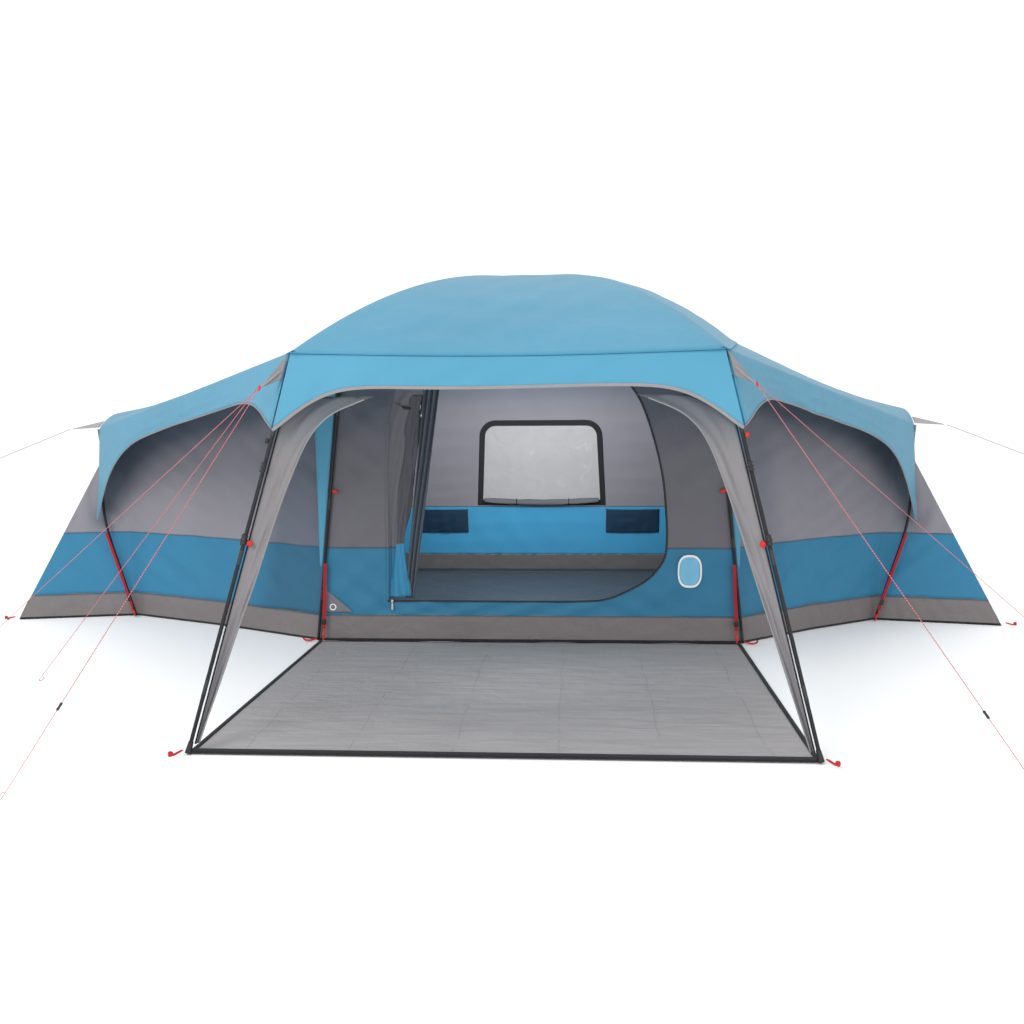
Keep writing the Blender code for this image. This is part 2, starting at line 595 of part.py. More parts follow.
for side, tag in ((-1, "left"), (1, "right")):
    grid = []
    for k in range(15):
        z = 0.035 + 1.415 * k / 14
        wide = 0.022 + 0.10 * z + 0.21 * math.exp((z - 1.44) / 0.07)
        x, y, _ = leg_point(side, -1, z)
        grid.append([(x - side * (0.026 + wide * f), y + 0.018 + 0.01 * math.sin(math.pi * f), z)
                     for f in (0.0, 0.5, 1.0)])
    sheet(f"porch_gusset_{tag}", grid, CLOTH, TRIM)

    # clip that holds the gusset to the porch leg at mid height
    z = 0.852
    cx, cy, _ = leg_point(side, -1, z)
    band(f"leg_clip_{tag}", [
        ((cx - side * 0.0135, cy, z + 0.004), (0, 0.006, 0), (0, 0, 0.010)),
        ((cx - side * 0.020, cy + 0.003, z - 0.002), (0, 0.006, 0), (0, 0, 0.017)),
        ((cx - side * 0.034, cy + 0.004, z - 0.010), (0, 0.005, 0), (0, 0, 0.012)),
    ], RED)
    # grey tab on the hub and on the pod's shoulder that take the guy lines
    hub = ridge(side, -1, 0.0) + np.array([side * 0.006, -0.008, -0.006])
    low = hub + np.array([side * 0.026, -0.022, -0.105])
    tip = np.array([side * 1.015, -3.072, 1.487])
    grid = [[lerp(hub, tip, f), lerp(low, tip, f)] for f in (0.0, 0.5, 0.93)]
    sheet(f"hub_tab_{tag}", grid, 0.0016, TRIM, False)
    a, b = pod_arch(side, 0.02), pod_arch(side, 0.13)
    a, b = a + np.array([side * 0.006, -0.004, 0]), b + np.array([side * 0.006, 0, 0])
    tip = pod_arch(side, 0.0) + np.array([side * 0.205, 0.01, 0.0])
    grid = [[lerp(a, tip, f), lerp(b, tip, f)] for f in (0.0, 0.5, 0.93)]
    sheet(f"shoulder_tab_{tag}", grid, 0.0016, TRIM, False)

    # red tension straps, each ending in its stake
    x0 = arch_pole_xy(0.45) - 0.030
    y = ROOM_FRONT - 0.036
    band(f"strap_mid_{tag}", [
        ((side * (x0 + 0.020), y, 0.470), (0.0100, 0, 0), (0, 0.0007, 0)),
        ((side * (x0 + 0.038), y, 0.080), (0.0100, 0, 0), (0, 0.0007, 0)),
        ((side * (x0 + 0.039), y, 0.050), (0.0055, 0, 0), (0, 0.0030, 0)),
        ((side * (x0 + 0.040), y - 0.004, 0.036), (0.0080, 0, 0), (0, 0.0050, 0)),
        ((side * (x0 + 0.041), y - 0.010, 0.006), (0.0040, 0, 0), (0, 0.0040, 0)),
    ], WEB)
    sx = lambda x: side * (x + left_extra(side, 1.0))
    band(f"strap_pod_{tag}", [
        ((sx(2.378), -0.598, 0.560), (0.0090, 0, 0), (0, 0.0007, 0)),
        ((sx(2.215), -0.622, 0.075), (0.0090, 0, 0), (0, 0.0007, 0)),
        ((sx(2.207), -0.623, 0.050), (0.0055, 0, 0), (0, 0.0030, 0)),
        ((sx(2.200), -0.628, 0.036), (0.0080, 0, 0), (0, 0.0050, 0)),
        ((sx(2.190), -0.638, 0.006), (0.0040, 0, 0), (0, 0.0040, 0)),
    ], WEB)

    # stakes at the porch feet and the pods' outer corners: hooked heads standing out of the ground
    for name, x, y, dx, dy in (("porch", side * (FOOT_X[side] + 0.014), PORCH_FRONT - 0.010, side * 0.60, -0.8),
                               ("pod", side * (POD_END_X + 0.012 + left_extra(side, 1.0)), -0.735, side, -0.35)):
        along = np.array([dx, dy, 0.0]) / math.hypot(dx, dy)
        across = np.array([-along[1], along[0], 0.0])
        at = np.array([x, y, 0.0])
        band(f"stake_{name}_{tag}", [
            (at + along * 0.004 + [0, 0, 0.020], across * 0.004, (0, 0, 0.003)),
            (at + along * 0.022 + [0, 0, 0.016], across * 0.005, (0, 0, 0.0045)),
            (at + along * 0.052 + [0, 0, 0.012], across * 0.005, (0, 0, 0.0045)),
            (at + along * 0.060 + [0, 0, 0.018], across * 0.006, (0, 0, 0.0120)),
            (at + along * 0.068 + [0, 0, 0.019], across * 0.006, (0, 0, 0.0120)),
        ], RED)


# ---- guy lines ----
def looped(start, end, radius=0.014):
    """A taut line that ends in a small tied loop, held clear of itself."""
    start, end = np.array(start, float), np.array(end, float)
    t = (end - start) / np.linalg.norm(end - start)
    side = np.cross(t, (0, 0, 1.0))
    side /= np.linalg.norm(side)
    pts = [start, end]
    for k in range(1, 11):
        a = 2 * math.pi * k / 12.5
        pts.append(end + t * radius * math.sin(a) + side * radius * (1 - math.cos(a)))
    return pts


def tensioner(name, start, end, share):
    s, e = np.array(start, float), np.array(end, float)
    sleeve(name, lerp(s, e, share), e - s, CORD_R + 0.0009, 0.0060, 0.034, HARD, 8)


TAB = (1.019, -3.078, 1.482)
GUYS = {
    "guy_front_left": ((-TAB[0], TAB[1], TAB[2]), (-1.785, -3.825, 0.014), 0.80),
    "guy_front_right": (TAB, (1.930, -3.785, 0.014), 0.80),
    "guy_side_left": ((-1.008, -3.062, 1.500), (-3.330, -1.175, 0.010), 0.915),
    "guy_side_right": ((1.008, -3.062, 1.500), (3.040, -1.225, 0.010), 0.905),
}
for name, (start, end, share) in GUYS.items():
    tube(name, looped(start, end), CORD_R, CORD, 6)
    tensioner(name.replace("guy", "tensioner"), start, end, share)
tube("guy_rear_left", looped((-1.013, -3.070, 1.506), (-2.480, -2.235, 0.010)), CORD_R, CORD, 6)
for side, tag in ((-1, "left"), (1, "right")):
    start = pod_arch(side, 0.0) + np.array([side * 0.207, 0.01, 0.0])
    tube(f"guy_shoulder_{tag}", looped(start, start + np.array([side * 0.64, -0.02, -0.250])), CORD_R, CORD, 6)
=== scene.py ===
"""Pitched family dome tent: cloth, poles, straps and guy lines built around the loaded frame."""

import math

import bpy
import bmesh
import numpy as np
from mathutils import Matrix, Vector


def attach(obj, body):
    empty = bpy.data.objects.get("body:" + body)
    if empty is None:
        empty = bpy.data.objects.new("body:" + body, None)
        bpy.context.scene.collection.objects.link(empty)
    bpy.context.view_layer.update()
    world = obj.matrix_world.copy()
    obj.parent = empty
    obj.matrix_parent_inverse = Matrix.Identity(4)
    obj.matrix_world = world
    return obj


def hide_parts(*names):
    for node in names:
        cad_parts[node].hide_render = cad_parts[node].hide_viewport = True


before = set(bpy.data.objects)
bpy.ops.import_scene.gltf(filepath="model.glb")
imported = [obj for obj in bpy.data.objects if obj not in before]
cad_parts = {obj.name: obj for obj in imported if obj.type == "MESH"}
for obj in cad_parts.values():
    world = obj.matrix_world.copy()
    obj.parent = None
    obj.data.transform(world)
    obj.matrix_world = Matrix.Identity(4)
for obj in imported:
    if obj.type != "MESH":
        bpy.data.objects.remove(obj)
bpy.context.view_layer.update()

bl_info = {
    "name": "Family Dome Tent",
    "version": (1, 0, 0),
    "blender": (4, 5, 0),
    "location": "View3D > Sidebar > Tent",
    "description": "Builds a pitched family dome tent, piece by piece",
    "category": "Add Mesh",
}

BODY = "tent"

# sizes shared with the frame, metres
ROOM_HALF, ROOM_FRONT, ROOM_BACK = 1.2585, -1.25, 1.25
SIDE_LEAN, BACK_LEAN = 0.108, 0.21
PORCH_FRONT = -3.30
SKIRT_Z, BAND_Z = 0.157, 0.559
POD_EXTRA_LEFT = 0.4645
POD_FOOT_X, POD_END_X = 2.20, 2.945
SHOULDER_X, SHOULDER_Y, SHOULDER_Z = 2.433, 0.504, 1.25
HUB_X, HUB_Z, DOME_RISE = 0.900, 1.634, 0.500
RIDGE_MID_Y, RIDGE_REACH = -1.025, 1.995
POLE_R, CORD_R = 0.0085, 0.0015
FOOT_X = {-1: 1.296, 1: 1.256}
DOOR_LEFT, DOOR_SILL = -0.837, 0.240
POLE_Y = ROOM_FRONT - 0.020
SIDES = ((-1, "left"), (1, "right"))

# joint sleeves of the poles: one every 0.55 m, over a part of that length either side of its middle
SLEEVE_PITCH, SLEEVE_SHARE = 0.55, 0.055
# inside radius and turned share of the loop tied at a cord's end
LOOP_R, LOOP_TURN = 0.014, 0.8
FLOOR_Z = -0.0035
CLIP_Z = 0.852
STRIP_FOOT, STRIP_TOP = 0.45, 1.56
# camera: place, turn, downward pitch and roll in radians, lens in millimetres
CAMERA_AT = (0.3012, -7.3973, 1.4417)
CAMERA_TURN, CAMERA_PITCH, CAMERA_ROLL, CAMERA_LENS = 0.0635, 0.1081, -0.0071, 37.11


# ---------------------------------------------------------------- array helpers
def vec(x, y, z):
    """Stack three coordinate arrays into points."""
    x, y, z = np.broadcast_arrays(np.asarray(x, float), y, z)
    return np.stack([x, y, z], -1)


def down(*span, **how):
    """Evenly spaced values down the first direction of a grid."""
    return np.linspace(*span, **how)[:, None]


def along_row(*span):
    """Evenly spaced values along the second direction of a grid."""
    return np.linspace(*span)[None]


def mix(a, b, t):
    """Point a at t = 0 and b at t = 1, on the straight line between them."""
    t = np.asarray(t, float)[..., None]
    return np.asarray(a, float) * (1 - t) + np.asarray(b, float) * t


def ease(t):
    """3t^2 - 2t^3 on t held between 0 and 1."""
    t = np.clip(t, 0.0, 1.0)
    return t * t * (3 - 2 * t)


def bump(t, centre, width):
    """A bell of height 1: exp(-((t - centre) / width)^2)."""
    return np.exp(-(((t - centre) / width) ** 2))


def ripple(p, q, size, seed):
    """Smooth noise from -1 to 1: random heights on a square lattice, eased between its corners."""
    heights = np.random.default_rng(seed).uniform(-1, 1, (61, 61))
    a, b = np.asarray(p) / size, np.asarray(q) / size
    i, j = np.floor(a).astype(int), np.floor(b).astype(int)
    f, g = ease(a - i), ease(b - j)
    near = heights[i % 61, j % 61] * (1 - f) + heights[(i + 1) % 61, j % 61] * f
    far = heights[i % 61, (j + 1) % 61] * (1 - f) + heights[(i + 1) % 61, (j + 1) % 61] * f
    return near * (1 - g) + far * g


def creases(p, q, turn, pitch, seed):
    """Soft parallel folds across the direction `turn`: a wave whose phase and height wander with noise."""
    across = p * math.cos(turn) + q * math.sin(turn)
    along = q * math.cos(turn) - p * math.sin(turn)
    phase = 2 * math.pi * across / pitch + 2.6 * ripple(across, along * 0.4, 3.0 * pitch, seed)
    swell = 0.5 + 0.5 * ripple(across, along * 0.35, 2.2 * pitch, seed + 1)
    wave = np.sin(phase)
    return swell * (wave + 0.35 * (1 - np.abs(wave)) ** 2)


def normals(grid):
    """Unit cross product of the two directions of a grid."""
    n = np.cross(np.gradient(grid, axis=0), np.gradient(grid, axis=1))
    return n / np.maximum(np.linalg.norm(n, axis=-1, keepdims=True), 1e-9)


def pushed(grid, amount):
    """A grid moved along its own normals."""
    return grid + normals(grid) * np.asarray(amount)[..., None]


def run_along(path):
    """Length from the first point of a path to each of its points."""
    return np.concatenate([[0], np.cumsum(np.linalg.norm(np.diff(path, axis=0), axis=-1))])


def closed(grid):
    """A ring of columns with its first column repeated at the end."""
    return np.concatenate([grid, grid[:, :1]], 1)


def rounded_end(s, power, least):
    """1 over the middle of -1 to 1 and dropping off at both ends: sqrt(1 - |s|^power), never below sqrt(least)."""
    return np.sqrt(np.clip(1 - np.abs(s) ** power, least, 1))


def grid_area(grid):
    """Half the cross products of each cell's diagonals, summed."""
    d1 = grid[1:, 1:] - grid[:-1, :-1]
    d2 = grid[:-1, 1:] - grid[1:, :-1]
    return float(0.5 * np.linalg.norm(np.cross(d1, d2), axis=-1).sum())


# ---------------------------------------------------------------- mesh helpers
def grid_mesh(name, grid, look, around=False, caps=False, shade=None):
    """A quad mesh in a named finish over a grid of points, with UVs in metres along both directions.

    around joins the last column to the first, caps closes the first and last rows with a fan of their
    own centre, and shade gives each point the value that the cloth finishes darken by.
    """
    rows, cols = grid.shape[:2]
    pts = grid.reshape(-1, 3)
    idx = np.arange(rows * cols).reshape(rows, cols)
    step_u = np.linalg.norm(np.diff(grid, axis=0), axis=-1).mean(1)
    u = np.concatenate([[0.0], np.cumsum(step_u)])
    ring = closed(grid) if around else grid
    step_v = np.linalg.norm(np.diff(ring, axis=1), axis=-1).mean(0)
    v = np.concatenate([[0.0], np.cumsum(step_v)])
    wide = closed(idx) if around else idx
    a, b, c, d = wide[:-1, :-1], wide[1:, :-1], wide[1:, 1:], wide[:-1, 1:]
    faces = np.stack([a, d, c, b], -1).reshape(-1, 4)
    i, j = np.meshgrid(np.arange(rows - 1), np.arange(wide.shape[1] - 1), indexing="ij")
    corners = [(i, j), (i, j + 1), (i + 1, j + 1), (i + 1, j)]
    uv = np.stack([np.stack([u[m], v[n]], -1) for m, n in corners], 2).reshape(-1, 2)
    loops, starts, totals = faces.reshape(-1), np.arange(len(faces)) * 4, np.full(len(faces), 4)
    if caps:
        pts = np.concatenate([pts, [grid[0].mean(0), grid[-1].mean(0)]])
        n, nxt = rows * cols, np.roll(np.arange(cols), -1)
        low = np.stack([np.full(cols, n), idx[0][nxt], idx[0]], -1)
        high = np.stack([np.full(cols, n + 1), idx[-1], idx[-1][nxt]], -1)
        fans = np.concatenate([low, high])
        loops = np.concatenate([loops, fans.reshape(-1)])
        starts = np.concatenate([starts, starts[-1] + 4 + np.arange(len(fans)) * 3])
        totals = np.concatenate([totals, np.full(len(fans), 3)])
        uv = np.concatenate([uv, np.tile([[0.0, 0.0]], (len(fans) * 3, 1))])
    mesh = bpy.data.meshes.new(name)
    mesh.vertices.add(len(pts))
    mesh.vertices.foreach_set("co", pts.reshape(-1))
    mesh.loops.add(len(loops))
    mesh.loops.foreach_set("vertex_index", loops)
    mesh.polygons.add(len(starts))
    mesh.polygons.foreach_set("loop_start", starts)
    mesh.polygons.foreach_set("loop_total", totals)
    mesh.polygons.foreach_set("use_smooth", np.full(len(starts), True))
    mesh.uv_layers.new(name="UVMap").data.foreach_set("uv", uv.reshape(-1))
    if shade is not None:
        values = shade.reshape(-1).astype(np.float32)
        mesh.attributes.new("shade", "FLOAT", "POINT").data.foreach_set("value", values)
    mesh.materials.append(finish(look))
    mesh.update(calc_edges=True)
    mesh.validate()
    obj = bpy.data.objects.new(name, mesh)
    bpy.context.scene.collection.objects.link(obj)
    return obj


def tidy(obj, within=0.0003, outward=True):
    """Merge doubled points, and turn the faces of a closed shape outwards."""
    bm = bmesh.new()
    bm.from_mesh(obj.data)
    bmesh.ops.remove_doubles(bm, verts=bm.verts, dist=within)
    bmesh.ops.dissolve_degenerate(bm, edges=bm.edges, dist=1e-6)
    if outward:
        bmesh.ops.recalc_face_normals(bm, faces=bm.faces)
    bm.to_mesh(obj.data)
    bm.free()
    return obj


def thicken(obj, thick):
    """Give a cloth surface its thickness, half on either side."""
    mod = obj.modifiers.new("thickness", "SOLIDIFY")
    mod.thickness = thick
    mod.offset = 0.0
    mod.use_even_offset = False
    return obj


def cloth(name, grid, look, nodes=(), thick=None, around=False, shade=None):
    """A cloth sheet over a grid, riding on the tent, in place of the named frame nodes."""
    obj = thicken(tidy(grid_mesh(name, grid, look, around=around, shade=shade), outward=False),
                  thick or sizes().cloth_thickness)
    fixed(obj, BODY, nodes)
    ring = closed(grid) if around else grid
    area = grid_area(ring)
    return obj


def sizes():
    """The sizes set in the panel."""
    return bpy.context.scene.tent_sizes


def fixed(obj, body=BODY, nodes=()):
    """Ride a finished piece on a body and the frame nodes it stands for."""
    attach(obj, body)
    if nodes:
        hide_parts(*nodes)
    return obj


def patch(name, grid, look, around=False):
    """A small piece of sewn-on cloth or tape, 1.2 mm thick."""
    sheet = tidy(grid_mesh(name, grid, look, around=around), outward=False)
    return fixed(thicken(sheet, 0.0012))


def directions(path, seed=(0.0, 0.0, 1.0)):
    """Two unit directions across a path: a fixed seed made square to it, and their cross product."""
    t = np.gradient(path, axis=0)
    t /= np.linalg.norm(t, axis=1, keepdims=True)
    s = np.broadcast_to(np.asarray(seed, float), t.shape)
    a = s - (s * t).sum(1, keepdims=True) * t
    a /= np.maximum(np.linalg.norm(a, axis=1, keepdims=True), 1e-9)
    return a, np.cross(t, a)


def bar(name, path, radius, look, sides=16, flat=1.0, seed=(0.0, 1.0, 0.013)):
    """A round or oval bar swept along a path: circle points carried by the two cross directions."""
    path = np.asarray(path, float)
    a, b = directions(path, seed)
    w = np.arange(sides) / sides * 2 * math.pi
    r = np.broadcast_to(np.asarray(radius, float), (len(path),))[:, None, None]
    ring = a[:, None] * np.cos(w)[None, :, None] * flat + b[:, None] * np.sin(w)[None, :, None]
    return tidy(grid_mesh(name, path[:, None] + ring * r, look, around=True, caps=True))


def ribbon(name, path, half_u, half_v, look, round_=0.25, seed=(0.0, 1.0, 0.0)):
    """A flat strap or moulded stub: a rounded rectangle carried along a path, its size set at each point."""
    path = np.asarray(path, float)
    a, b = directions(path, seed)
    w = np.arange(16) / 16 * 2 * math.pi + math.pi / 16
    c, s = np.cos(w), np.sin(w)
    cu, su = np.sign(c) * np.abs(c) ** round_, np.sign(s) * np.abs(s) ** round_
    hu = np.broadcast_to(np.asarray(half_u, float), (len(path),))[:, None, None]
    hv = np.broadcast_to(np.asarray(half_v, float), (len(path),))[:, None, None]
    ring = b[:, None] * cu[None, :, None] * hu + a[:, None] * su[None, :, None] * hv
    return tidy(grid_mesh(name, path[:, None] + ring, look, around=True, caps=True))


def smooth_path(points, count):
    """Points spread evenly by length along a Catmull-Rom curve through the given ones."""
    p = np.asarray(points, float)
    p = np.concatenate([[2 * p[0] - p[1]], p, [2 * p[-1] - p[-2]]])
    t = down(0, 1, 24, endpoint=False)
    runs = [0.5 * (2 * b + (c - a) * t + (2 * a - 5 * b + 4 * c - d) * t ** 2 + (3 * b - a - 3 * c + d) * t ** 3)
            for a, b, c, d in zip(p[:-3], p[1:-2], p[2:-1], p[3:])]
    line = np.concatenate(runs + [p[-2:-1]])
    s = run_along(line)
    want = np.linspace(0, s[-1], count)
    return np.stack([np.interp(want, s, line[:, k]) for k in range(3)], -1)


# ---------------------------------------------------------------- shapes shared by several pieces
def extra(side, share):
    """Added reach of the left pod."""
    return POD_EXTRA_LEFT * np.asarray(share, float) if side < 0 else np.zeros_like(np.asarray(share, float))


def ridge(side, end, t):
    """Line over a main pole: straight inwards in plan, rising as 1 - (1 - t)^2.15 from the hub to the peak."""
    t = np.asarray(t, float)
    return vec(side * HUB_X * (1 - t), RIDGE_MID_Y + end * RIDGE_REACH * (1 - t),
               HUB_Z + DOME_RISE * (1 - (1 - t) ** 2.15))


def side_gore(side, t, v):
    """Dome side: straight between the two ridges, swelling outwards and upwards as sin(pi v)(1 - t)."""
    t, v = np.broadcast_arrays(np.asarray(t, float), np.asarray(v, float))
    swell = np.sin(math.pi * v) * (1 - t)
    return mix(ridge(side, -1, t), ridge(side, 1, t), v) + vec(side * 0.24 * swell, 0 * swell, 0.11 * swell)


def end_gore(end, t, s):
    """Dome front or back: straight between the two ridges, sagging as sin(pi s)(1 - t)."""
    t, s = np.broadcast_arrays(np.asarray(t, float), np.asarray(s, float))
    sag = 0.018 * np.sin(math.pi * s) * (1 - t)
    return mix(ridge(-1, end, t), ridge(1, end, t), s) - vec(0 * sag, 0 * sag, sag)


def hub_pole(side, end):
    return ridge(side, end, 0.0) + np.array([-side * 0.012, -end * 0.012, -0.014])


def leg_point(side, end, z):
    """Centre line of a leg pole at height z."""
    front, rear = (side * FOOT_X[side], PORCH_FRONT, 0.0), (side * 1.30, ROOM_BACK + 0.045, 0.0)
    foot = np.array(front if end < 0 else rear)
    return mix(foot, hub_pole(side, end), np.asarray(z, float) / hub_pole(side, end)[2])


def pod_arch(side, v):
    """Line over a pod's arch from the front shoulder (0) to the rear one (1)."""
    v = np.asarray(v, float)
    up = np.sin(math.pi * np.clip(v, 0, 1))
    return vec(side * (SHOULDER_X + 0.05 * up + extra(side, np.ones_like(v))),
               -SHOULDER_Y + 2 * SHOULDER_Y * v, SHOULDER_Z + 0.105 * up ** 0.8)


def pole_x(z):
    return ROOM_HALF - SIDE_LEAN * np.asarray(z, float)


def pod_drop(u):
    """Depth of the cloth below the fold between the hub (u = 0) and the shoulder (u = 1)."""
    return 0.14 + 0.168 * np.exp(-((u / 0.075) ** 1.5)) + 0.46 * u ** 10


def pod_fold(side, u, v):
    """Ruled cloth from the dome's eave to the pod's arch, sagging as sin(pi u) sin(pi v)."""
    u, v = np.broadcast_arrays(np.asarray(u, float), np.asarray(v, float))
    eave = side_gore(side, 0.0, v) + np.array([side * 0.004, 0.0, -0.003])
    sag = 0.05 * np.sin(math.pi * u) * np.sin(math.pi * v)
    return mix(eave, pod_arch(side, v), u) - vec(0 * sag, 0 * sag, sag)


def pod_low(side, end, u, f):
    """Cloth below the fold, f = 0 at the fold and 1 at the edge."""
    near = np.exp(-u / 0.15)
    fold = pod_fold(side, u, 0.0 if end < 0 else 1.0)
    return fold + vec(side * 0.070 * near * f, end * (0.054 * near + 0.085 * u ** 6) * f, -pod_drop(u) * f)


OUTLINE = np.array([(ROOM_HALF, ROOM_FRONT), (1.75, -0.86), (POD_FOOT_X, -0.56), (POD_END_X, -0.72),
                    (POD_END_X + 0.02, 0.0), (POD_END_X, 0.72), (POD_FOOT_X, 0.56), (1.75, 0.86),
                    (ROOM_HALF, ROOM_BACK)])
TOPS = np.array([(ROOM_HALF - SIDE_LEAN * 1.55, -1.246, 1.55), (1.66, -0.80, 1.42), (2.335, -0.445, 1.19),
                 (2.37, -0.425, 1.20), (2.395, 0.0, 1.29), (2.37, 0.425, 1.20), (2.335, 0.445, 1.19),
                 (1.66, 0.66, 1.36), (ROOM_HALF - SIDE_LEAN * 1.30, ROOM_BACK - BACK_LEAN * 1.30, 1.30)])


def wall_point(side, s, z):
    """Pod wall at outline position s (0 to 8, whole numbers at its upright lines) and height z."""
    s, z = np.broadcast_arrays(np.asarray(s, float), np.asarray(z, float))
    k = np.arange(9.0)
    low_x, low_y = (np.interp(s, k, OUTLINE[:, c]) for c in (0, 1))
    top_x, top_y, top_z = (np.interp(s, k, TOPS[:, c]) for c in (0, 1, 2))
    share = np.interp(s, k, np.clip((OUTLINE[:, 0] - ROOM_HALF) / (POD_FOOT_X - ROOM_HALF), 0, 1))
    f = z / top_z
    return vec(side * (low_x + (top_x - low_x) * f + extra(side, share)), low_y + (top_y - low_y) * f, z)


def wall_top(s):
    return np.interp(s, np.arange(9.0), TOPS[:, 2])


DOOR_EDGE = np.array([(DOOR_LEFT, DOOR_SILL), (-0.30, DOOR_SILL), (0.30, 0.242), (0.468, 0.258), (0.599, 0.312),
                      (0.700, 0.372), (0.765, 0.440), (0.801, 0.505), (0.813, 0.592), (0.810, 0.740),
                      (0.790, 0.960), (0.735, 1.200), (0.650, 1.430), (0.520, 1.600), (0.30, 1.69), (-0.30, 1.71),
                      (-0.62, 1.66), (-0.76, 1.52), (-0.812, 1.30), (-0.828, 1.0)])


def rounded_window(x0, x1, z0, z1, r, narrow, steps=8):
    """A window outline: square lower corners, round upper ones, narrower at the top."""
    w = np.linspace(0, math.pi / 2, steps + 1)
    right = np.stack([x1 - r - narrow + r * np.cos(w), z1 - r + r * np.sin(w)], -1)
    left = np.stack([x0 + r + narrow - r * np.sin(w), z1 - r + r * np.cos(w)], -1)
    return np.concatenate([[(x0, z0), (x1, z0)], right, left])


def reach(loop, centre, angle):
    """Distance from a centre to a closed outline along each angle, by ray and edge."""
    a = np.asarray(loop, float) - centre
    b = np.roll(a, -1, 0)
    d = np.stack([np.cos(angle), np.sin(angle)], -1)[:, None]
    e = (b - a)[None]
    den = d[..., 0] * e[..., 1] - d[..., 1] * e[..., 0]
    den = np.where(np.abs(den) < 1e-12, 1e-12, den)
    t = (a[None, :, 0] * e[..., 1] - a[None, :, 1] * e[..., 0]) / den
    s = (a[None, :, 0] * d[..., 1] - a[None, :, 1] * d[..., 0]) / den
    return np.where((t > 0) & (s > -1e-6) & (s < 1 + 1e-6), t, 1e9).min(1)


def ring_plane(inner, outer, centre, count, rows):
    """2-D points between a hole's outline and a panel's outline, on rays from a shared centre."""
    base = np.linspace(0, 2 * math.pi, count, endpoint=False)
    corners = np.concatenate([np.arctan2(*(np.asarray(loop, float) - centre).T[::-1]) for loop in (inner, outer)])
    for c in corners % (2 * math.pi):
        base[np.argmin(np.abs(base - c))] = c
    base = np.sort(base)
    r0, r1 = reach(inner, centre, base), reach(outer, centre, base)
    f = down(0, 1, rows)
    r = r0 + (r1 - r0) * f
    return np.asarray(centre) + np.stack([r * np.cos(base), r * np.sin(base)], -1)


# ---------------------------------------------------------------- shader expressions
class Wire:
    """A node output. Arithmetic on it adds Math nodes; numbers may stand on either side."""

    def __init__(self, tree, socket=None):
        self.tree, self.socket = tree, socket

    def node(self, kind, settings=None, inputs=None, out=0):
        """Add a node of a kind: its settings first, then values or links for its inputs."""
        made = self.tree.nodes.new(kind)
        for key, value in (settings or {}).items():
            if key == "stops":
                ramp = made.color_ramp
                while len(ramp.elements) < len(value):
                    ramp.elements.new(0.5)
                for element, (at, colour) in zip(ramp.elements, value):
                    element.position, element.color = at, (*colour, 1.0)
            else:
                setattr(made, key, value)
        for key, value in (inputs or {}).items():
            if isinstance(value, Wire):
                self.tree.links.new(value.socket, made.inputs[key])
            else:
                made.inputs[key].default_value = (*value, 1.0) if isinstance(value, tuple) and len(value) == 3 \
                    and made.inputs[key].type == "RGBA" else value
        return Wire(self.tree, made.outputs[out] if made.outputs else None)

    def math(self, operation, *others, clamp=False):
        """A Math node on this value and others."""
        return self.node("ShaderNodeMath", {"operation": operation, "use_clamp": clamp},
                         {k: v for k, v in enumerate((self, *others))})

    def __add__(self, other):
        return self.math("ADD", other)

    def __sub__(self, other):
        return self.math("SUBTRACT", other)

    def __mul__(self, other):
        return self.math("MULTIPLY", other)

    def __truediv__(self, other):
        return self.math("DIVIDE", other)

    def __gt__(self, other):
        return self.math("GREATER_THAN", other)

    def __lt__(self, other):
        return self.math("LESS_THAN", other)

    def __rsub__(self, other):
        return (self * -1.0) + other

    __radd__, __rmul__ = __add__, __mul__

    def near(self, value, within):
        """1 where this lies within a distance of a value, and 0 elsewhere."""
        return self.math("COMPARE", value, within)

    def above(self, value, over=0.002):
        """0 below a value and 1 above it, rising across a short distance."""
        return ((self - (value - over)) / (2 * over)).math("ADD", 0.0, clamp=True)

    def wave(self, pitch):
        """A sine of this length, one cycle to a pitch, from -1 to 1."""
        return (self * (2 * math.pi / pitch)).math("SINE")

    def parts(self):
        """The three numbers of a vector."""
        split = self.tree.nodes.new("ShaderNodeSeparateXYZ")
        self.tree.links.new(self.socket, split.inputs[0])
        return [Wire(self.tree, s) for s in split.outputs]

    def blend(self, low, high):
        """Colour low where this is 0 and high where it is 1."""
        return self.node("ShaderNodeMix", {"data_type": "RGBA"}, {0: self, 6: low, 7: high}, out=2)

    def noise(self, scale, detail=2.0, rough=0.5, warp=0.0):
        """Noise from 0 to 1 at this position."""
        return self.node("ShaderNodeTexNoise", None,
                         {"Vector": self, "Scale": scale, "Detail": detail, "Roughness": rough, "Distortion": warp})


def new_finish(name):
    """An empty material and a wire to start from."""
    mat = bpy.data.materials.new(name)
    mat.use_nodes = True
    mat.node_tree.nodes.clear()
    return mat, Wire(mat.node_tree)


def close_finish(mat, w, base, rough, height=None, depth=0.001, through=0.0, varying=None, **fixed_values):
    """Join the shader: a Principled surface, with a share of light let through the cloth.

    varying holds inputs that change over the surface; the other named values are the same everywhere.
    """
    inputs = {"Base Color": base, "Roughness": rough}
    inputs.update(varying or {})
    inputs.update({k.replace("_", " "): v for k, v in fixed_values.items()})
    if height is not None:
        inputs["Normal"] = w.node("ShaderNodeBump", None, {"Strength": 1.0, "Distance": depth, "Height": height})
    shader = w.node("ShaderNodeBsdfPrincipled", None, inputs)
    if through:
        glow = w.node("ShaderNodeBsdfTranslucent", None, {"Color": base})
        shader = w.node("ShaderNodeMixShader", None, {0: through, 1: shader, 2: glow})
    w.node("ShaderNodeOutputMaterial", None, {"Surface": shader})
    return mat


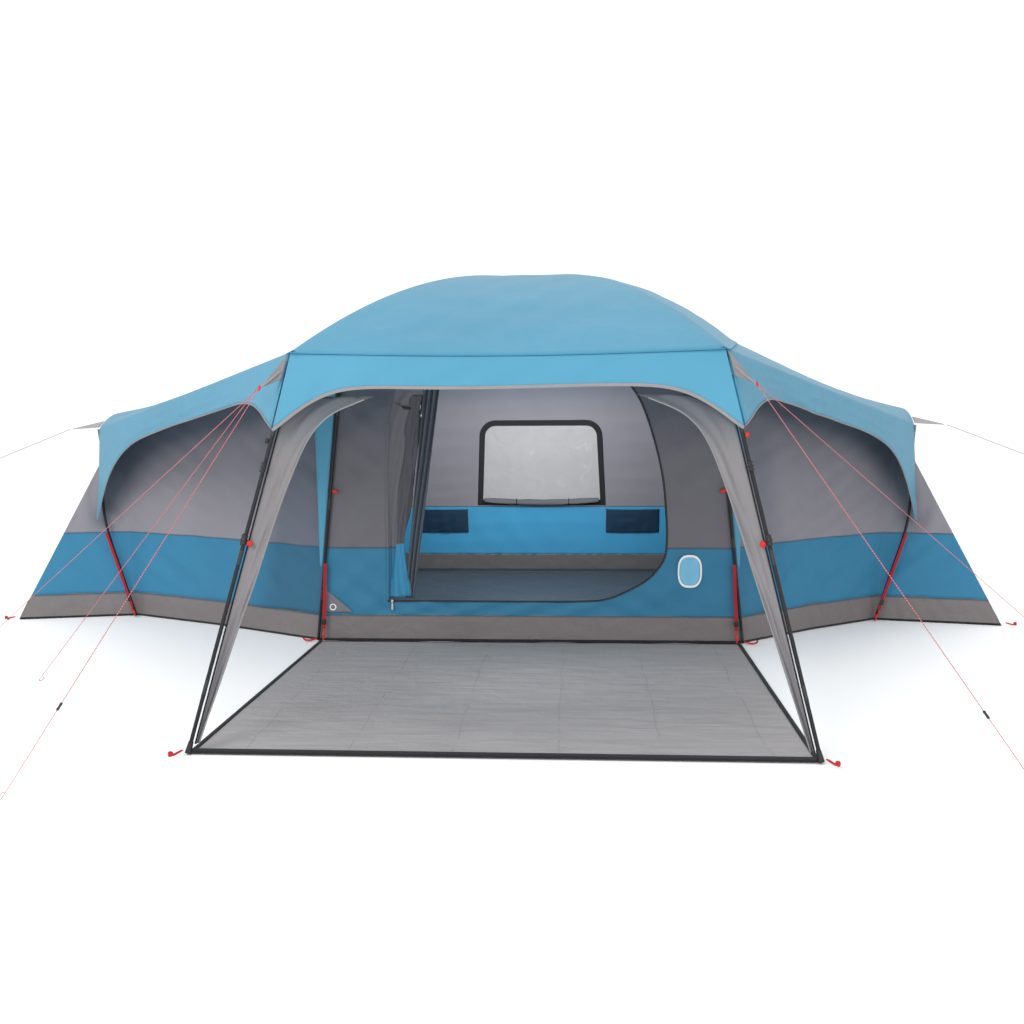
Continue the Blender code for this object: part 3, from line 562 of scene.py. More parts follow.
def tone(colour, amount, shade):
    """A colour made lighter and darker by a value around a half."""
    dark = tuple(c * (1 - amount) for c in colour)
    light = tuple(min(1.0, c * (1 + amount)) for c in colour)
    return shade.blend(dark, light)


def cloth_finish(name, colour, rough=0.62, thread=0.0009, check=0.0055, through=0.0, crinkle=0.0010, size=9.0,
                 hem=None, lower=None, seams=(), coat=0.0, under=None):
    """Coated tent cloth: fine weave and ripstop check on its own UVs, tone and crinkles on its place.

    lower is (height, colour): the cloth sewn on below that height. seams are heights of dark sewn lines, and
    hem is (height, colour) of the tape along the ground, and under the colour of painted shade: the point
    attribute "shade" darkens the cloth towards it, painting in the shade of the fly, corners and wall tops.
    """
    mat, w = new_finish(name)
    uv = w.node("ShaderNodeTexCoord", out="UV")
    place = w.node("ShaderNodeTexCoord", out="Object")
    u, v = uv.parts()[:2]
    z = place.parts()[2]
    weave = u.wave(thread) * v.wave(thread)
    cells_u, cells_v = (u / check).math("FRACT"), (v / check).math("FRACT")
    rip = cells_u.math("MAXIMUM", cells_v) > 0.90
    broad = place.noise(1.7, 3.0, 0.6)
    fine = place.noise(size, 5.0, 0.62, 0.6)
    base = tone(colour, 0.10, broad)
    if lower:
        base = z.above(lower[0], 0.001).blend(tone(lower[1], 0.10, broad), base)
    base = (fine * 0.5 + 0.12).blend(base, base.node("ShaderNodeVectorMath", {"operation": "SCALE"},
                                                     {0: base, "Scale": 0.90}))
    base = (rip * 0.10).blend(base, (0.0, 0.0, 0.0))
    for at in seams:
        line = z.near(at, 0.0035)
        stitch = z.near(at + 0.0065, 0.0007).math("MAXIMUM", z.near(at - 0.0065, 0.0007)) * \
            ((u / 0.004).math("FRACT") < 0.62)
        base = (line * 0.55 + stitch * 0.5).blend(base, (0.01, 0.012, 0.016))
    if hem:
        base = z.above(hem[0], 0.0008).blend(hem[1], base)
    # painted shade: darken towards the under colour by 0.62 times the point attribute "shade"
    if under:
        mark = w.node("ShaderNodeAttribute", {"attribute_name": "shade"}, out=2)
        base = (mark * 0.62).blend(base, under)
    height = fine * crinkle + weave * 0.00006 + rip * 0.00010 + place.noise(70.0, 2.0) * 0.00018
    roughness = place.noise(24.0, 3.0) * 0.16 + (rough - 0.08)
    return close_finish(mat, w, base, roughness, height, 1.0, through, Specular_IOR_Level=0.35,
                        Coat_Weight=coat, Coat_Roughness=0.35, Sheen_Weight=0.12, Sheen_Roughness=0.4)


def mat_finish(name, colour):
    """Porch groundsheet: streaky coated cloth, with the creases left by folding it into a parcel, darkened as painted
    shade.
    """
    mat, w = new_finish(name)
    place = w.node("ShaderNodeTexCoord", out="Object")
    x, y, z = place.parts()
    streak = w.node("ShaderNodeTexNoise", None, {
        "Vector": w.node("ShaderNodeCombineXYZ", None, {0: x * 1.1, 1: y * 7.0, 2: z}), "Scale": 2.4, "Detail": 6.0,
        "Roughness": 0.62, "Distortion": 0.4})
    fine = place.noise(9.0, 6.0, 0.66, 0.9)
    wander = (place.noise(3.0, 3.0) - 0.5) * 0.05
    across = ((x + wander) / 0.43).math("FRACT").near(0.5, 0.011)
    along = ((y + wander) / 0.52).math("FRACT").near(0.5, 0.009)
    # patches where the fold lines show; their darkening to 0.55 of the colour is painted shade in the creases
    worn = place.noise(5.0, 2.0) > 0.44
    fold = across.math("MAXIMUM", along) * worn
    base = tone(colour, 0.24, streak)
    base = (fine * 0.35).blend(base, tuple(c * 0.80 for c in colour))
    base = (fold * 0.24).blend(base, tuple(c * 0.55 for c in colour))
    height = fine * 0.0045 + streak * 0.0085 - fold * 0.0010 + place.noise(90.0, 2.0) * 0.0002
    return close_finish(mat, w, base, place.noise(12.0, 3.0) * 0.2 + 0.45, height, 1.0, Specular_IOR_Level=0.45)


def pole_finish(name, colour, metal):
    """Pultruded glass-fibre pole with metal joint sleeves every 0.55 m of its length."""
    mat, w = new_finish(name)
    uv = w.node("ShaderNodeTexCoord", out="UV")
    place = w.node("ShaderNodeTexCoord", out="Object")
    u, v = uv.parts()[:2]
    sleeve = ((u / SLEEVE_PITCH).math("FRACT") - 0.5).math("ABSOLUTE") < SLEEVE_SHARE
    streak = w.node("ShaderNodeTexNoise", None, {
        "Vector": w.node("ShaderNodeCombineXYZ", None, {0: u * 6.0, 1: v * 900.0, 2: 0.0}),
        "Scale": 1.0, "Detail": 3.0})
    base = sleeve.blend(tone(colour, 0.35, streak), metal)
    worn = place.noise(40.0, 4.0) > 0.64
    base = (worn * 0.20).blend(base, (0.05, 0.05, 0.055))
    rough = streak * 0.15 + 0.36 - sleeve * 0.05
    return close_finish(mat, w, base, rough, streak * 0.0002 + sleeve * 0.0004, 1.0,
                        varying={"Metallic": sleeve * 0.4}, Specular_IOR_Level=0.22)


def moulded_finish(name, colour, rough=0.38):
    """Injection-moulded plastic: faint mottling, spark-eroded grain, rubbed lighter in places."""
    mat, w = new_finish(name)
    place = w.node("ShaderNodeTexCoord", out="Object")
    grain = place.noise(900.0, 2.0)
    base = tone(colour, 0.14, place.noise(35.0, 3.0))
    rub = place.noise(120.0, 4.0, 0.7) > 0.66
    base = (rub * 0.2).blend(base, tuple(min(1.0, c * 1.8 + 0.02) for c in colour))
    return close_finish(mat, w, base, grain * 0.12 + (rough - 0.05), grain * 0.00006, 1.0, Specular_IOR_Level=0.3)


def webbing_finish(name, colour, pitch=0.0016):
    """Woven tape: ribs across its length and a diagonal twill."""
    mat, w = new_finish(name)
    uv = w.node("ShaderNodeTexCoord", out="UV")
    place = w.node("ShaderNodeTexCoord", out="Object")
    u, v = uv.parts()[:2]
    twill = (u + v).wave(pitch) * 0.5 + 0.5
    base = tone(colour, 0.22, twill * 0.6 + place.noise(30.0, 3.0) * 0.4)
    return close_finish(mat, w, base, 0.82 - twill * 0.1, twill * 0.00022 + u.wave(pitch * 2.5) * 0.00006, 1.0,
                        Specular_IOR_Level=0.25, Sheen_Weight=0.06, Sheen_Roughness=0.5)


def cord_finish(name, pale, fleck):
    """Braided guy cord: pale strands with a coloured fleck spiralling round it."""
    mat, w = new_finish(name)
    u, v = w.node("ShaderNodeTexCoord", out="UV").parts()[:2]
    spiral = (u / 0.011 + v / (2 * math.pi * CORD_R)).math("FRACT")
    strand = (u * 1.0 - v * 2.0).wave(0.0011) * 0.5 + 0.5
    base = (spiral < 0.70).blend(tone(pale, 0.16, strand), tone(fleck, 0.25, strand))
    return close_finish(mat, w, base, 0.72 + strand * 0.1, strand * 0.00012, 1.0,
                        Sheen_Weight=0.15, Sheen_Roughness=0.5)


def metal_finish(name, colour):
    """Die-cast zip metal, brushed and lightly worn."""
    mat, w = new_finish(name)
    place = w.node("ShaderNodeTexCoord", out="Object")
    wear = place.noise(420.0, 4.0, 0.7)
    return close_finish(mat, w, tone(colour, 0.2, wear), wear * 0.25 + 0.22, wear * 0.00004, 1.0, Metallic=1.0)


def zip_finish(name, tape, teeth):
    """Zip: teeth along the middle of a woven tape, counted along its length."""
    mat, w = new_finish(name)
    u = w.node("ShaderNodeTexCoord", out="UV").parts()[0]
    tooth = (u / 0.0028).math("FRACT") > 0.42
    rib = u.wave(0.0014) * 0.5 + 0.5
    base = (tooth * 0.8).blend(tone(tape, 0.3, rib), teeth)
    return close_finish(mat, w, base, 0.62 - tooth * 0.25, tooth * 0.0006 + rib * 0.0001, 1.0)


def pane_finish(name, colour):
    """Clear flexible film, slightly hazy, with soft drape marks."""
    mat, w = new_finish(name)
    place = w.node("ShaderNodeTexCoord", out="Object")
    haze = place.noise(5.0, 4.0, 0.6, 1.2)
    base = tone(colour, 0.08, haze)
    return close_finish(mat, w, base, haze * 0.25 + 0.12, haze * 0.004, 1.0,
                        varying={"Alpha": haze * 0.12 + 0.74}, Specular_IOR_Level=0.6)


def floor_finish(name):
    """Seamless pale studio floor with a trace of unevenness."""
    mat, w = new_finish(name)
    place = w.node("ShaderNodeTexCoord", out="Object")
    return close_finish(mat, w, tone((0.97, 0.97, 0.97), 0.01, place.noise(0.7, 2.0)), 0.9)


def finish(name):
    """The named finish, made once from the colours of the panel."""
    found = bpy.data.materials.get(name)
    if found:
        return found
    c = {k: tuple(getattr(bpy.context.scene.tent_colours, k)) for k in TentColours.__annotations__}
    black = c["binding"]
    seam = (BAND_Z,)
    kinds = {
        "Fly Cloth": lambda n: cloth_finish(n, c["fly"], 0.50, through=0.22, crinkle=0.0040, size=4.5),
        "Wall Cloth": lambda n: cloth_finish(n, c["wall"], 0.66, through=0.20, crinkle=0.0045, size=5.0,
                                             lower=(BAND_Z, c["band"]), seams=seam, under=(0.020, 0.062, 0.100)),
        # painted shade: the front wall's cloth is the wall grey at 0.50 and the band blue at 0.78, darkened for the
        # porch's shade
        "Front Cloth": lambda n: cloth_finish(n, tuple(0.50 * k for k in c["wall"]), 0.66, through=0.10,
                                              crinkle=0.0050, size=5.5,
                                              lower=(BAND_Z, tuple(0.78 * k for k in c["band"])), seams=seam,
                                              under=(0.030, 0.060, 0.088)),
        # painted light and shade: the rear wall's cloth is the wall grey darkened to 0.80 and the band blue
        # brightened 1.4 times
        "Rear Cloth": lambda n: cloth_finish(n, tuple(0.80 * k for k in c["wall"]), 0.72, through=0.20,
                                             crinkle=0.0016, size=5.5,
                                             lower=(BAND_Z, tuple(1.4 * k for k in c["band"])), seams=seam,
                                             under=(0.040, 0.075, 0.105)),
        # painted shade: the gussets' and hub tabs' cloth is the trim grey darkened to 0.62
        "Gusset Cloth": lambda n: cloth_finish(n, tuple(0.62 * k for k in c["trim"]), 0.75, crinkle=0.0050, size=11.0,
                                               under=(0.035, 0.060, 0.085)),
        "Tub Outside": lambda n: cloth_finish(n, c["tub"], 0.55, check=0.004, crinkle=0.0090, size=11.0,
                                              hem=(0.012, black), seams=(SKIRT_Z - 0.006,)),
        # painted shade: the inside of the upstand is the same cloth as its outside, given a darker colour
        "Tub Inside": lambda n: cloth_finish(n, c["tub_inside"], 0.6, check=0.004,
                                             crinkle=0.0045, size=8.0, lower=(0.030, c["floor_cloth"])),
        "Porch Mat": lambda n: mat_finish(n, c["porch_mat"]),
        "Trim Cloth": lambda n: cloth_finish(n, c["trim"], 0.75, crinkle=0.0014, size=14.0),
        "Binding": lambda n: webbing_finish(n, black, 0.0022),
        "Piping": lambda n: webbing_finish(n, c["piping"], 0.0020),
        "Roll Cloth": lambda n: cloth_finish(n, c["roll"], 0.75, crinkle=0.0020, size=16.0),
        # painted light: the roll's lower blue is the band blue brightened 1.15 times
        "Roll Lower": lambda n: cloth_finish(n, c["roll"], 0.75, crinkle=0.0020, size=16.0, through=0.15,
                                             lower=(BAND_Z + 0.02, tuple(1.15 * k for k in c["band"]))),
        "Curtain": lambda n: cloth_finish(n, c["curtain"], 0.85, crinkle=0.0020, size=16.0),
        "Pocket Cloth": lambda n: cloth_finish(n, c["pocket"], 0.75, crinkle=0.0020, size=16.0),
        "Pole": lambda n: pole_finish(n, (0.012, 0.012, 0.014), (0.035, 0.036, 0.04)),
        "Black Plastic": lambda n: moulded_finish(n, (0.014, 0.014, 0.016)),
        "Red Plastic": lambda n: moulded_finish(n, c["red"]),
        "Red Webbing": lambda n: webbing_finish(n, c["strap"]),
        "Guy Cord": lambda n: cord_finish(n, (0.50, 0.34, 0.34), (0.42, 0.015, 0.02)),
        "Pale Cord": lambda n: cord_finish(n, (0.045, 0.045, 0.050), (0.12, 0.11, 0.11)),
        "Slider Metal": lambda n: metal_finish(n, (0.62, 0.62, 0.60)),
        "Zip": lambda n: zip_finish(n, (0.010, 0.010, 0.012), (0.045, 0.045, 0.05)),
        "Pane": lambda n: pane_finish(n, c["pane"]),
        "Patch": lambda n: webbing_finish(n, (0.72, 0.72, 0.72), 0.004),
        "Patch Field": lambda n: webbing_finish(n, (0.16, 0.40, 0.56), 0.004),
        # painted shade: the corner piece's grey is the wall grey darkened to 0.55, like the front wall
        "Front Grey": lambda n: cloth_finish(n, tuple(0.55 * k for k in c["wall"]), 0.75),
        "Floor": floor_finish,
    }
    return kinds[name](name)


# ---------------------------------------------------------------- stage
def build_stage():
    """A wide pale floor, white surroundings, soft lights (three outside, two under the cloth) and the camera."""
    g = np.linspace(-40, 40, 9)
    x, y = np.meshgrid(g, g, indexing="ij")
    floor = grid_mesh("studio_floor", vec(x, y, FLOOR_Z), "Floor")
    world = bpy.data.worlds.new("Studio")
    world.use_nodes = True
    back = world.node_tree.nodes["Background"]
    back.inputs[0].default_value = (1.0, 1.0, 1.0, 1.0)
    back.inputs[1].default_value = 1.12
    bpy.context.scene.world = world
    for name, at, aim, size, power in (
            ("key_light", (-4.5, -10.0, 6.5), (0.0, -1.5, 0.8), 5.0, 520.0),
            ("front_light", (3.0, -12.0, 2.6), (0.0, -1.0, 0.8), 6.0, 200.0),
            ("top_light", (1.5, 1.5, 8.5), (0.2, -0.5, 0.0), 6.0, 50.0),
            ("room_light", (0.0, -0.70, 1.30), (0.0, 1.2, 0.70), 0.9, 52.0),
            ("porch_light", (0.0, -2.6, 0.95), (0.0, -1.25, 0.9), 0.9, 6.0)):
        light = bpy.data.lights.new(name, "AREA")
        light.shape, light.size, light.energy = "DISK", size, power
        obj = bpy.data.objects.new(name, light)
        obj.visible_camera = False
        bpy.context.scene.collection.objects.link(obj)
        to = np.array(aim) - np.array(at)
        obj.matrix_world = Matrix.Translation(at) @ Vector(to).to_track_quat("-Z", "Y").to_matrix().to_4x4()
    cam = bpy.data.cameras.new("camera")
    cam.sensor_width, cam.lens, cam.clip_end = 36.0, CAMERA_LENS, 200.0
    eye = bpy.data.objects.new("camera", cam)
    bpy.context.scene.collection.objects.link(eye)
    eye.matrix_world = (Matrix.Translation(CAMERA_AT) @ Matrix.Rotation(CAMERA_TURN, 4, "Z") @
                        Matrix.Rotation(math.pi / 2 - CAMERA_PITCH, 4, "X") @
                        Matrix.Rotation(CAMERA_ROLL, 4, "Z"))
    bpy.context.scene.camera = eye
    bpy.context.scene.view_settings.view_transform = "Standard"


# ---------------------------------------------------------------- guy lines
TAB = (1.019, -3.078, 1.482)
GUYS = {
    "front_left": ((-TAB[0], TAB[1], TAB[2]), (-1.785, -3.825, 0.014), 0.80),
    "front_right": (TAB, (1.930, -3.785, 0.014), 0.80),
    "side_left": ((-1.008, -3.062, 1.500), (-3.330, -1.175, 0.010), 0.915),
    "side_right": ((1.008, -3.062, 1.500), (3.040, -1.225, 0.010), 0.905),
    "rear_left": ((-1.013, -3.070, 1.506), (-2.480, -2.235, 0.010), None),
}


def guy_path(start, end, straight, turns):
    """A straight run, then most of a circle of 14 mm radius beside its end: the tied loop."""
    start, end = np.array(start, float), np.array(end, float)
    along = (end - start) / np.linalg.norm(end - start)
    side = np.cross(along, (0.0, 0.0, 1.0))
    side /= np.linalg.norm(side)
    run = mix(start, end, np.linspace(0, 1, straight))
    a = np.linspace(0, 1, turns + 1)[1:, None] * 2 * math.pi * LOOP_TURN
    return np.concatenate([run, end + along * LOOP_R * np.sin(a) + side * LOOP_R * (1 - np.cos(a))])


def tensioner_piece(tag, start, end, share):
    """A flattened slider with two eyes: a rounded bar along the cord, waisted in its middle."""
    start, end = np.array(start, float), np.array(end, float)
    along = (end - start) / np.linalg.norm(end - start)
    mid = start + (end - start) * share
    s = np.linspace(-1, 1, 21)
    path = mid + along * s[:, None] * 0.017
    shape = rounded_end(s, 6, 0.02)
    wide = (0.0058 - 0.0014 * np.cos(s * math.pi / 2) ** 2) * shape
    obj = ribbon(f"tensioner_{tag}_piece", path, wide, 0.0046 * shape, "Black Plastic", 0.6)
    return fixed(obj, f"tensioner_{tag}", [f"tensioner_{tag}"])


def build_guys():
    """Every cord with its loop, and the sliding tensioners on four of them."""
    lines = dict(GUYS)
    for side, tag in SIDES:
        start = pod_arch(side, 0.0) + np.array([side * 0.207, 0.01, 0.0])
        lines[f"shoulder_{tag}"] = (start, start + np.array([side * 0.64, -0.02, -0.250]), None)
    for tag, (start, end, share) in lines.items():
        path = guy_path(start, end, 20, 16)
        red = not tag.startswith("shoulder")
        obj = bar(f"guy_{tag}_cord", path, CORD_R, "Guy Cord" if red else "Pale Cord", 8)
        fixed(obj, BODY, [f"guy_{tag}"])
        on = [tensioner_piece(tag, start, end, share)] if share else []


# ---------------------------------------------------------------- fly
def build_fly_roof():
    """Four gores between the crossed poles, from the eave (t = 0) to the peak (t = 1), with tension folds."""
    t = down(0, 1, 52) ** 1.1
    n = 36
    s = np.linspace(0, 1, n + 1)[None, :-1]
    gores = [end_gore(-1, t, s), side_gore(1, t, s), end_gore(1, t, 1 - s), side_gore(-1, t, 1 - s)]
    for k, gore in enumerate(gores):
        across = s * 1.8 * (1 - t)
        pull = np.sin(math.pi * s) ** 0.8 * (1 - t) ** 0.5 * ease(t / 0.10)
        folds = creases(across, t * 1.6 + 0 * s, 0.5 if k % 2 else -0.4, 0.34, 11 + k) * sizes().fly_fold * 0.67
        folds = folds + creases(across, t * 1.6 + 0 * s, 1.25, 0.21, 31 + k) * sizes().fly_fold * 0.5
        for near, phase in ((s, 0.4), (1 - s, 1.7)):
            run, turn = np.hypot(near * 1.9, t * 1.6), np.arctan2(t * 1.6, near * 1.9 + 1e-6)
            fan = np.sin(15 * turn + phase) * ease(run / 0.22) * np.exp(-run / 0.45)
            folds = folds + sizes().fly_fold * 0.7 * fan
        gores[k] = gore + normals(gore) * (folds * pull)[..., None] * (-1)
    v = np.linspace(0, 1, 120)
    for side, tag in SIDES:
        line = side_gore(side, 0.0, v) + vec(side * 0.001, 0.0, 0.0022 + 0 * v)
        seam = ribbon(f"eave_seam_{tag}", line, 0.017, 0.0014, "Fly Cloth", seed=(side * 0.5, 0, 1.0))
        fixed(seam)
    grid = np.concatenate(gores, 1)
    cloth("roof_cloth", grid, "Fly Cloth", ["fly_roof"], around=True)


def build_valances():
    """Strips hanging from the front and rear eaves, level in the middle and reaching down at both legs."""
    for end, label in ((-1, "front"), (1, "rear")):
        s = 0.002 + 0.996 * (0.5 - 0.5 * np.cos(math.pi * np.linspace(0, 1, 121)))[:, None]
        f = along_row(0, 1, 15)
        edge = np.minimum(s, 1 - s) * 2 * HUB_X
        at_leg = np.exp(-((edge / 0.12) ** 1.3))
        side = np.where(s > 0.5, 1.0, -1.0)
        top = end_gore(end, 0.0, s[:, 0])[:, None] + np.array([0.0, end * 0.003, -0.003])
        low = vec(side * 0.070 * at_leg, end * (0.012 + 0.054 * at_leg), -(0.128 + 0.19 * at_leg))
        grid = top + f[..., None] * low
        x = grid[..., 0]
        soft = (creases(x, f * 0.15 + 0 * x, 0.12, 0.30, 5) * 0.004 * f
                + creases(x, f * 0.2, 0.9, 0.16, 8) * 0.0025 * f)
        grid[..., 1] += end * soft * (1 - at_leg)
        grid[..., 2] += 0.003 * np.sin(x * 5.0) * f * (1 - at_leg)
        edge_line = smooth_path(grid[::3, -1] + np.array([0, end * 0.001, -0.001]), 160)
        hem = ribbon(f"valance_binding_{label}", edge_line, 0.0016, 0.0068, "Piping", seed=(0, 0, 1.0))
        fixed(hem)
        seam_line = smooth_path(grid[::3, 0] + np.array([0, end * 0.0015, 0.001]), 160)
        seam = ribbon(f"valance_seam_{label}", seam_line, 0.0040, 0.0012, "Fly Cloth", seed=(0, 0, 1.0))
        fixed(seam)
        cloth(f"valance_{label}", grid, "Fly Cloth", [f"fly_valance_{label}"])


def build_pod_fly():
    """Fly over each pod: a ruled roof from the dome's eave to the pod's arch, side curtains and an end band."""
    for side, tag in SIDES:
        u = np.concatenate([np.linspace(0, 0.2, 14)[:-1], np.linspace(0.2, 0.85, 40)[:-1], np.linspace(0.85, 1, 14)])
        U = u[:, None]
        f = np.linspace(1, 0, 11)[None, :-1]
        v = along_row(0, 1, 41)
        front = pod_low(side, -1, U + 0 * f, f + 0 * U)
        roof = pod_fold(side, U, v)
        rear = pod_low(side, 1, U + 0 * f, f[:, ::-1] + 0 * U)
        # folds fan out from the shoulders and run along the pull between hub and arch
        q = np.concatenate([-f * 0.4 + 0 * U, v * 1.4 + 0 * U, 1.4 + f[:, ::-1] * 0.4 + 0 * U], 1)
        grid = np.concatenate([front, roof, rear], 1)
        p = U * 1.55 + 0 * q
        hold = np.sin(math.pi * np.clip(U, 0, 1)) ** 0.6
        inner = np.concatenate([f + 0 * U, np.sin(math.pi * v) + 0 * U, f[:, ::-1] + 0 * U], 1)
        folds = (creases(p, q, 1.50, 0.150, 41 + side) * sizes().fly_fold
                 + creases(p, q, 1.25, 0.095, 47 + side) * sizes().fly_fold * 0.57)
        fan = np.exp(-p / 0.7)
        grid = pushed(grid, folds * hold * inner * (0.45 + 0.9 * fan))
        edge = grid[-1]
        w = np.linspace(0, 1, 9)[1:, None, None]
        sk = 1 - f[0]
        share = np.concatenate([1 - sk, 0 * v[0], (1 - sk)[::-1]])
        turn = np.concatenate([np.ones(f.size), np.zeros(v.size), -np.ones(f.size)])
        drop = np.where(turn == 0, -0.09 * np.sin(math.pi * np.clip(
            np.concatenate([0 * sk, v[0], 0 * sk]), 0.0, 1)) ** 0.25, 0.0)
        shift = vec(side * 0.012 + 0 * share, turn * (0.008 + 0.045 * (1 - share)), drop)
        band = edge[None] + shift[None] * w
        grid = np.concatenate([grid, band], 0)
        for name, line in (("front", grid[:len(u), 0]), ("rear", grid[:len(u), -1])):
            piping = bar(f"pod_piping_{tag}_{name}", smooth_path(line[::2], 90), 0.0034, "Piping", 8)
            fixed(piping)
        end_line = bar(f"pod_end_piping_{tag}", smooth_path(grid[-1][::2], 90), 0.0040, "Piping", 8)
        fixed(end_line)
        cloth(f"pod_fly_{tag}", grid, "Fly Cloth", [f"fly_pod_{tag}"])
        # narrow strip beside the room's front pole
        z = down(STRIP_FOOT, STRIP_TOP, 40)
        g = along_row(0, 1, 5)
        k = (z - STRIP_FOOT) / (STRIP_TOP - STRIP_FOOT) * 4
        wide = 0.012 + 0.115 * (z - STRIP_FOOT)
        strip = vec(side * (pole_x(z) + 0.012 + 0.0015 * k + wide * g), ROOM_FRONT - 0.022 + 0.003 * np.sin(9 * z), z)
        cloth(f"fly_strip_{tag}_cloth", strip, "Fly Cloth", [f"fly_strip_{tag}"])


# ---------------------------------------------------------------- walls
def arch_line():
    """Points of the right dome side straight above the arch pole, and how far each lies towards the peak."""
    t = np.array([0.0, 0.06, 0.14, 0.25, 0.4, 0.58, 0.75, 0.86])
    v = (POLE_Y - ridge(1, -1, t)[:, 1]) / (ridge(1, 1, t)[:, 1] - ridge(1, -1, t)[:, 1])
    return side_gore(1, t, v), t


def front_outline():
    """The front wall: straight sides leaning in with the pole, and a crown under the arch pole."""
    arch, t = arch_line()
    crown = np.stack([(arch[:, 0] - 0.03 * (1 - t)) * 0.97 - 0.01, arch[:, 2] - 0.085 - 0.03 * t], -1)
    low = np.array([(pole_x(SKIRT_Z) - 0.004, SKIRT_Z - 0.004), (pole_x(1.45) - 0.004, 1.45)])
    right = np.concatenate([low, crown])
    return np.concatenate([right, right[::-1] * [-1, 1]])


def build_front_wall():
    """Front wall of the room: rings of points from the door opening out to the wall's own edge."""
    flat = ring_plane(DOOR_EDGE, front_outline(), (0.0, 0.95), 260, 26)
    x, z = flat[..., 0], flat[..., 1]
    f = down(0, 1, 26)
    slack = np.sin(math.pi * f) ** 0.7
    y = ROOM_FRONT + slack * (creases(x, z, 2.2, 0.20, 61) * sizes().wall_fold * 0.61
                              + creases(x, z, 0.9, 0.15, 64) * sizes().wall_fold * 0.43)
    # painted shade: the wall darkens towards its top from 1.05 m, the shade of the porch roof
    cloth("front_wall", vec(x, y, z), "Front Cloth",
          ["front_wall_lower", "front_wall_upper"], around=True, shade=ease((z - 1.05) / 0.50) + 0 * x)


def back_outline():
    """The rear wall: upright sides, stepping in under the fly."""
    right = np.array([(pole_x(SKIRT_Z) - 0.004, SKIRT_Z - 0.004), (pole_x(1.29) - 0.004, 1.29),
                      (0.92, 1.30), (0.85, 1.58)])
    return np.concatenate([right, right[::-1] * [-1, 1]])


WIN = (-0.519, 0.519, BAND_Z + 0.012, 1.262)


def back_point(x, z, inward=0.0):
    return vec(x, ROOM_BACK - BACK_LEAN * np.asarray(z, float) - inward, z)


def build_back_wall():
    """Rear wall: rings of points from the window out to the wall's edge, in the leaning plane."""
    hole = rounded_window(WIN[0] + 0.02, WIN[1] - 0.02, WIN[2] + 0.02, WIN[3] - 0.02, 0.11, 0.03)
    flat = ring_plane(hole, back_outline(), (0.0, 0.90), 240, 24)
    x, z = flat[..., 0], flat[..., 1]
    f = down(0, 1, 24)
    slack = np.sin(math.pi * f) ** 0.7 * (creases(x, z, 0.5, 0.24, 71) + 0.6 * creases(x, z, 1.6, 0.14, 74)) * 0.004
    # painted shade: the wall darkens towards its top from 1.25 m
    cloth("back_wall", back_point(x, z) + vec(0 * x, slack, 0 * x), "Rear Cloth",
          ["back_wall_lower", "back_wall_upper"], around=True, shade=ease((z - 1.25) / 0.35) + 0 * x)


def painted_wall_shade(side, s, grid):
    """Painted shade on a pod wall: 1 above the fly's hanging edge, fading to 0 over 0.15 m below it; the corner
    beside the porch is painted dark too.
    """
    shade = np.zeros(grid.shape[:2])
    flat = grid[..., [0, 2]] * [side, 1]
    for end, part in ((-1, s[:, 0] <= 3.02), (1, s[:, 0] >= 4.98)):
        edge = pod_low(side, end, np.linspace(0, 1, 160), 1.0)[:, [0, 2]] * [side, 1]
        here = flat[part]
        gap = np.linalg.norm(here[:, :, None] - edge, axis=-1).min(-1)
        over = (here[..., 1] > np.interp(here[..., 0], edge[:, 0], edge[:, 1])) & (here[..., 0] < edge[-1, 0])
        shade[part] = np.maximum(over, np.clip(1 - gap / 0.15, 0, 1) ** 1.5)
    # painted shade in the corner beside the porch, stronger on the left side (0.85) than the right (0.35)
    corner = (0.85 if side < 0 else 0.35) * (1 - ease((s - 0.42) / 0.34))
    return np.maximum(shade, corner)


def build_pod_walls():
    """Walls round each pod: ruled between the outline on the ground and the line under the fly, with slack folds."""
    for side, tag in SIDES:
        s = down(0, 8, 241)
        g = along_row(0, 1, 44)
        z = (SKIRT_Z - 0.004) + (wall_top(s) + 0.14 * np.clip(s - 7, 0, 1) - SKIRT_Z) * g
        grid = wall_point(side, s, z)
        run = run_along(grid[:, 0])[:, None]
        p, q = run + 0 * z, z
        hold = np.abs(np.sin(math.pi * s)) ** 0.5 * (0.35 + 0.65 * np.sin(math.pi * g) ** 0.5)
        lean = np.where(s < 4, 1.0, -1.0)
        folds = (creases(p * lean, q, 2.30, 0.24, 81) * sizes().wall_fold
                 + creases(p * lean, q, 2.05, 0.13, 84) * sizes().wall_fold * 0.6
                 + creases(p, q, 0.5, 0.5, 86) * 0.006)
        bulge = 0.010 * np.sin(math.pi * g) * np.abs(np.sin(math.pi * s)) ** 0.7
        grid = pushed(grid, (folds * hold - bulge) * side)
        cloth(f"pod_wall_{tag}", grid, "Wall Cloth",
              [f"pod_wall_lower_{tag}", f"pod_wall_upper_{tag}"], shade=painted_wall_shade(side, s, grid))


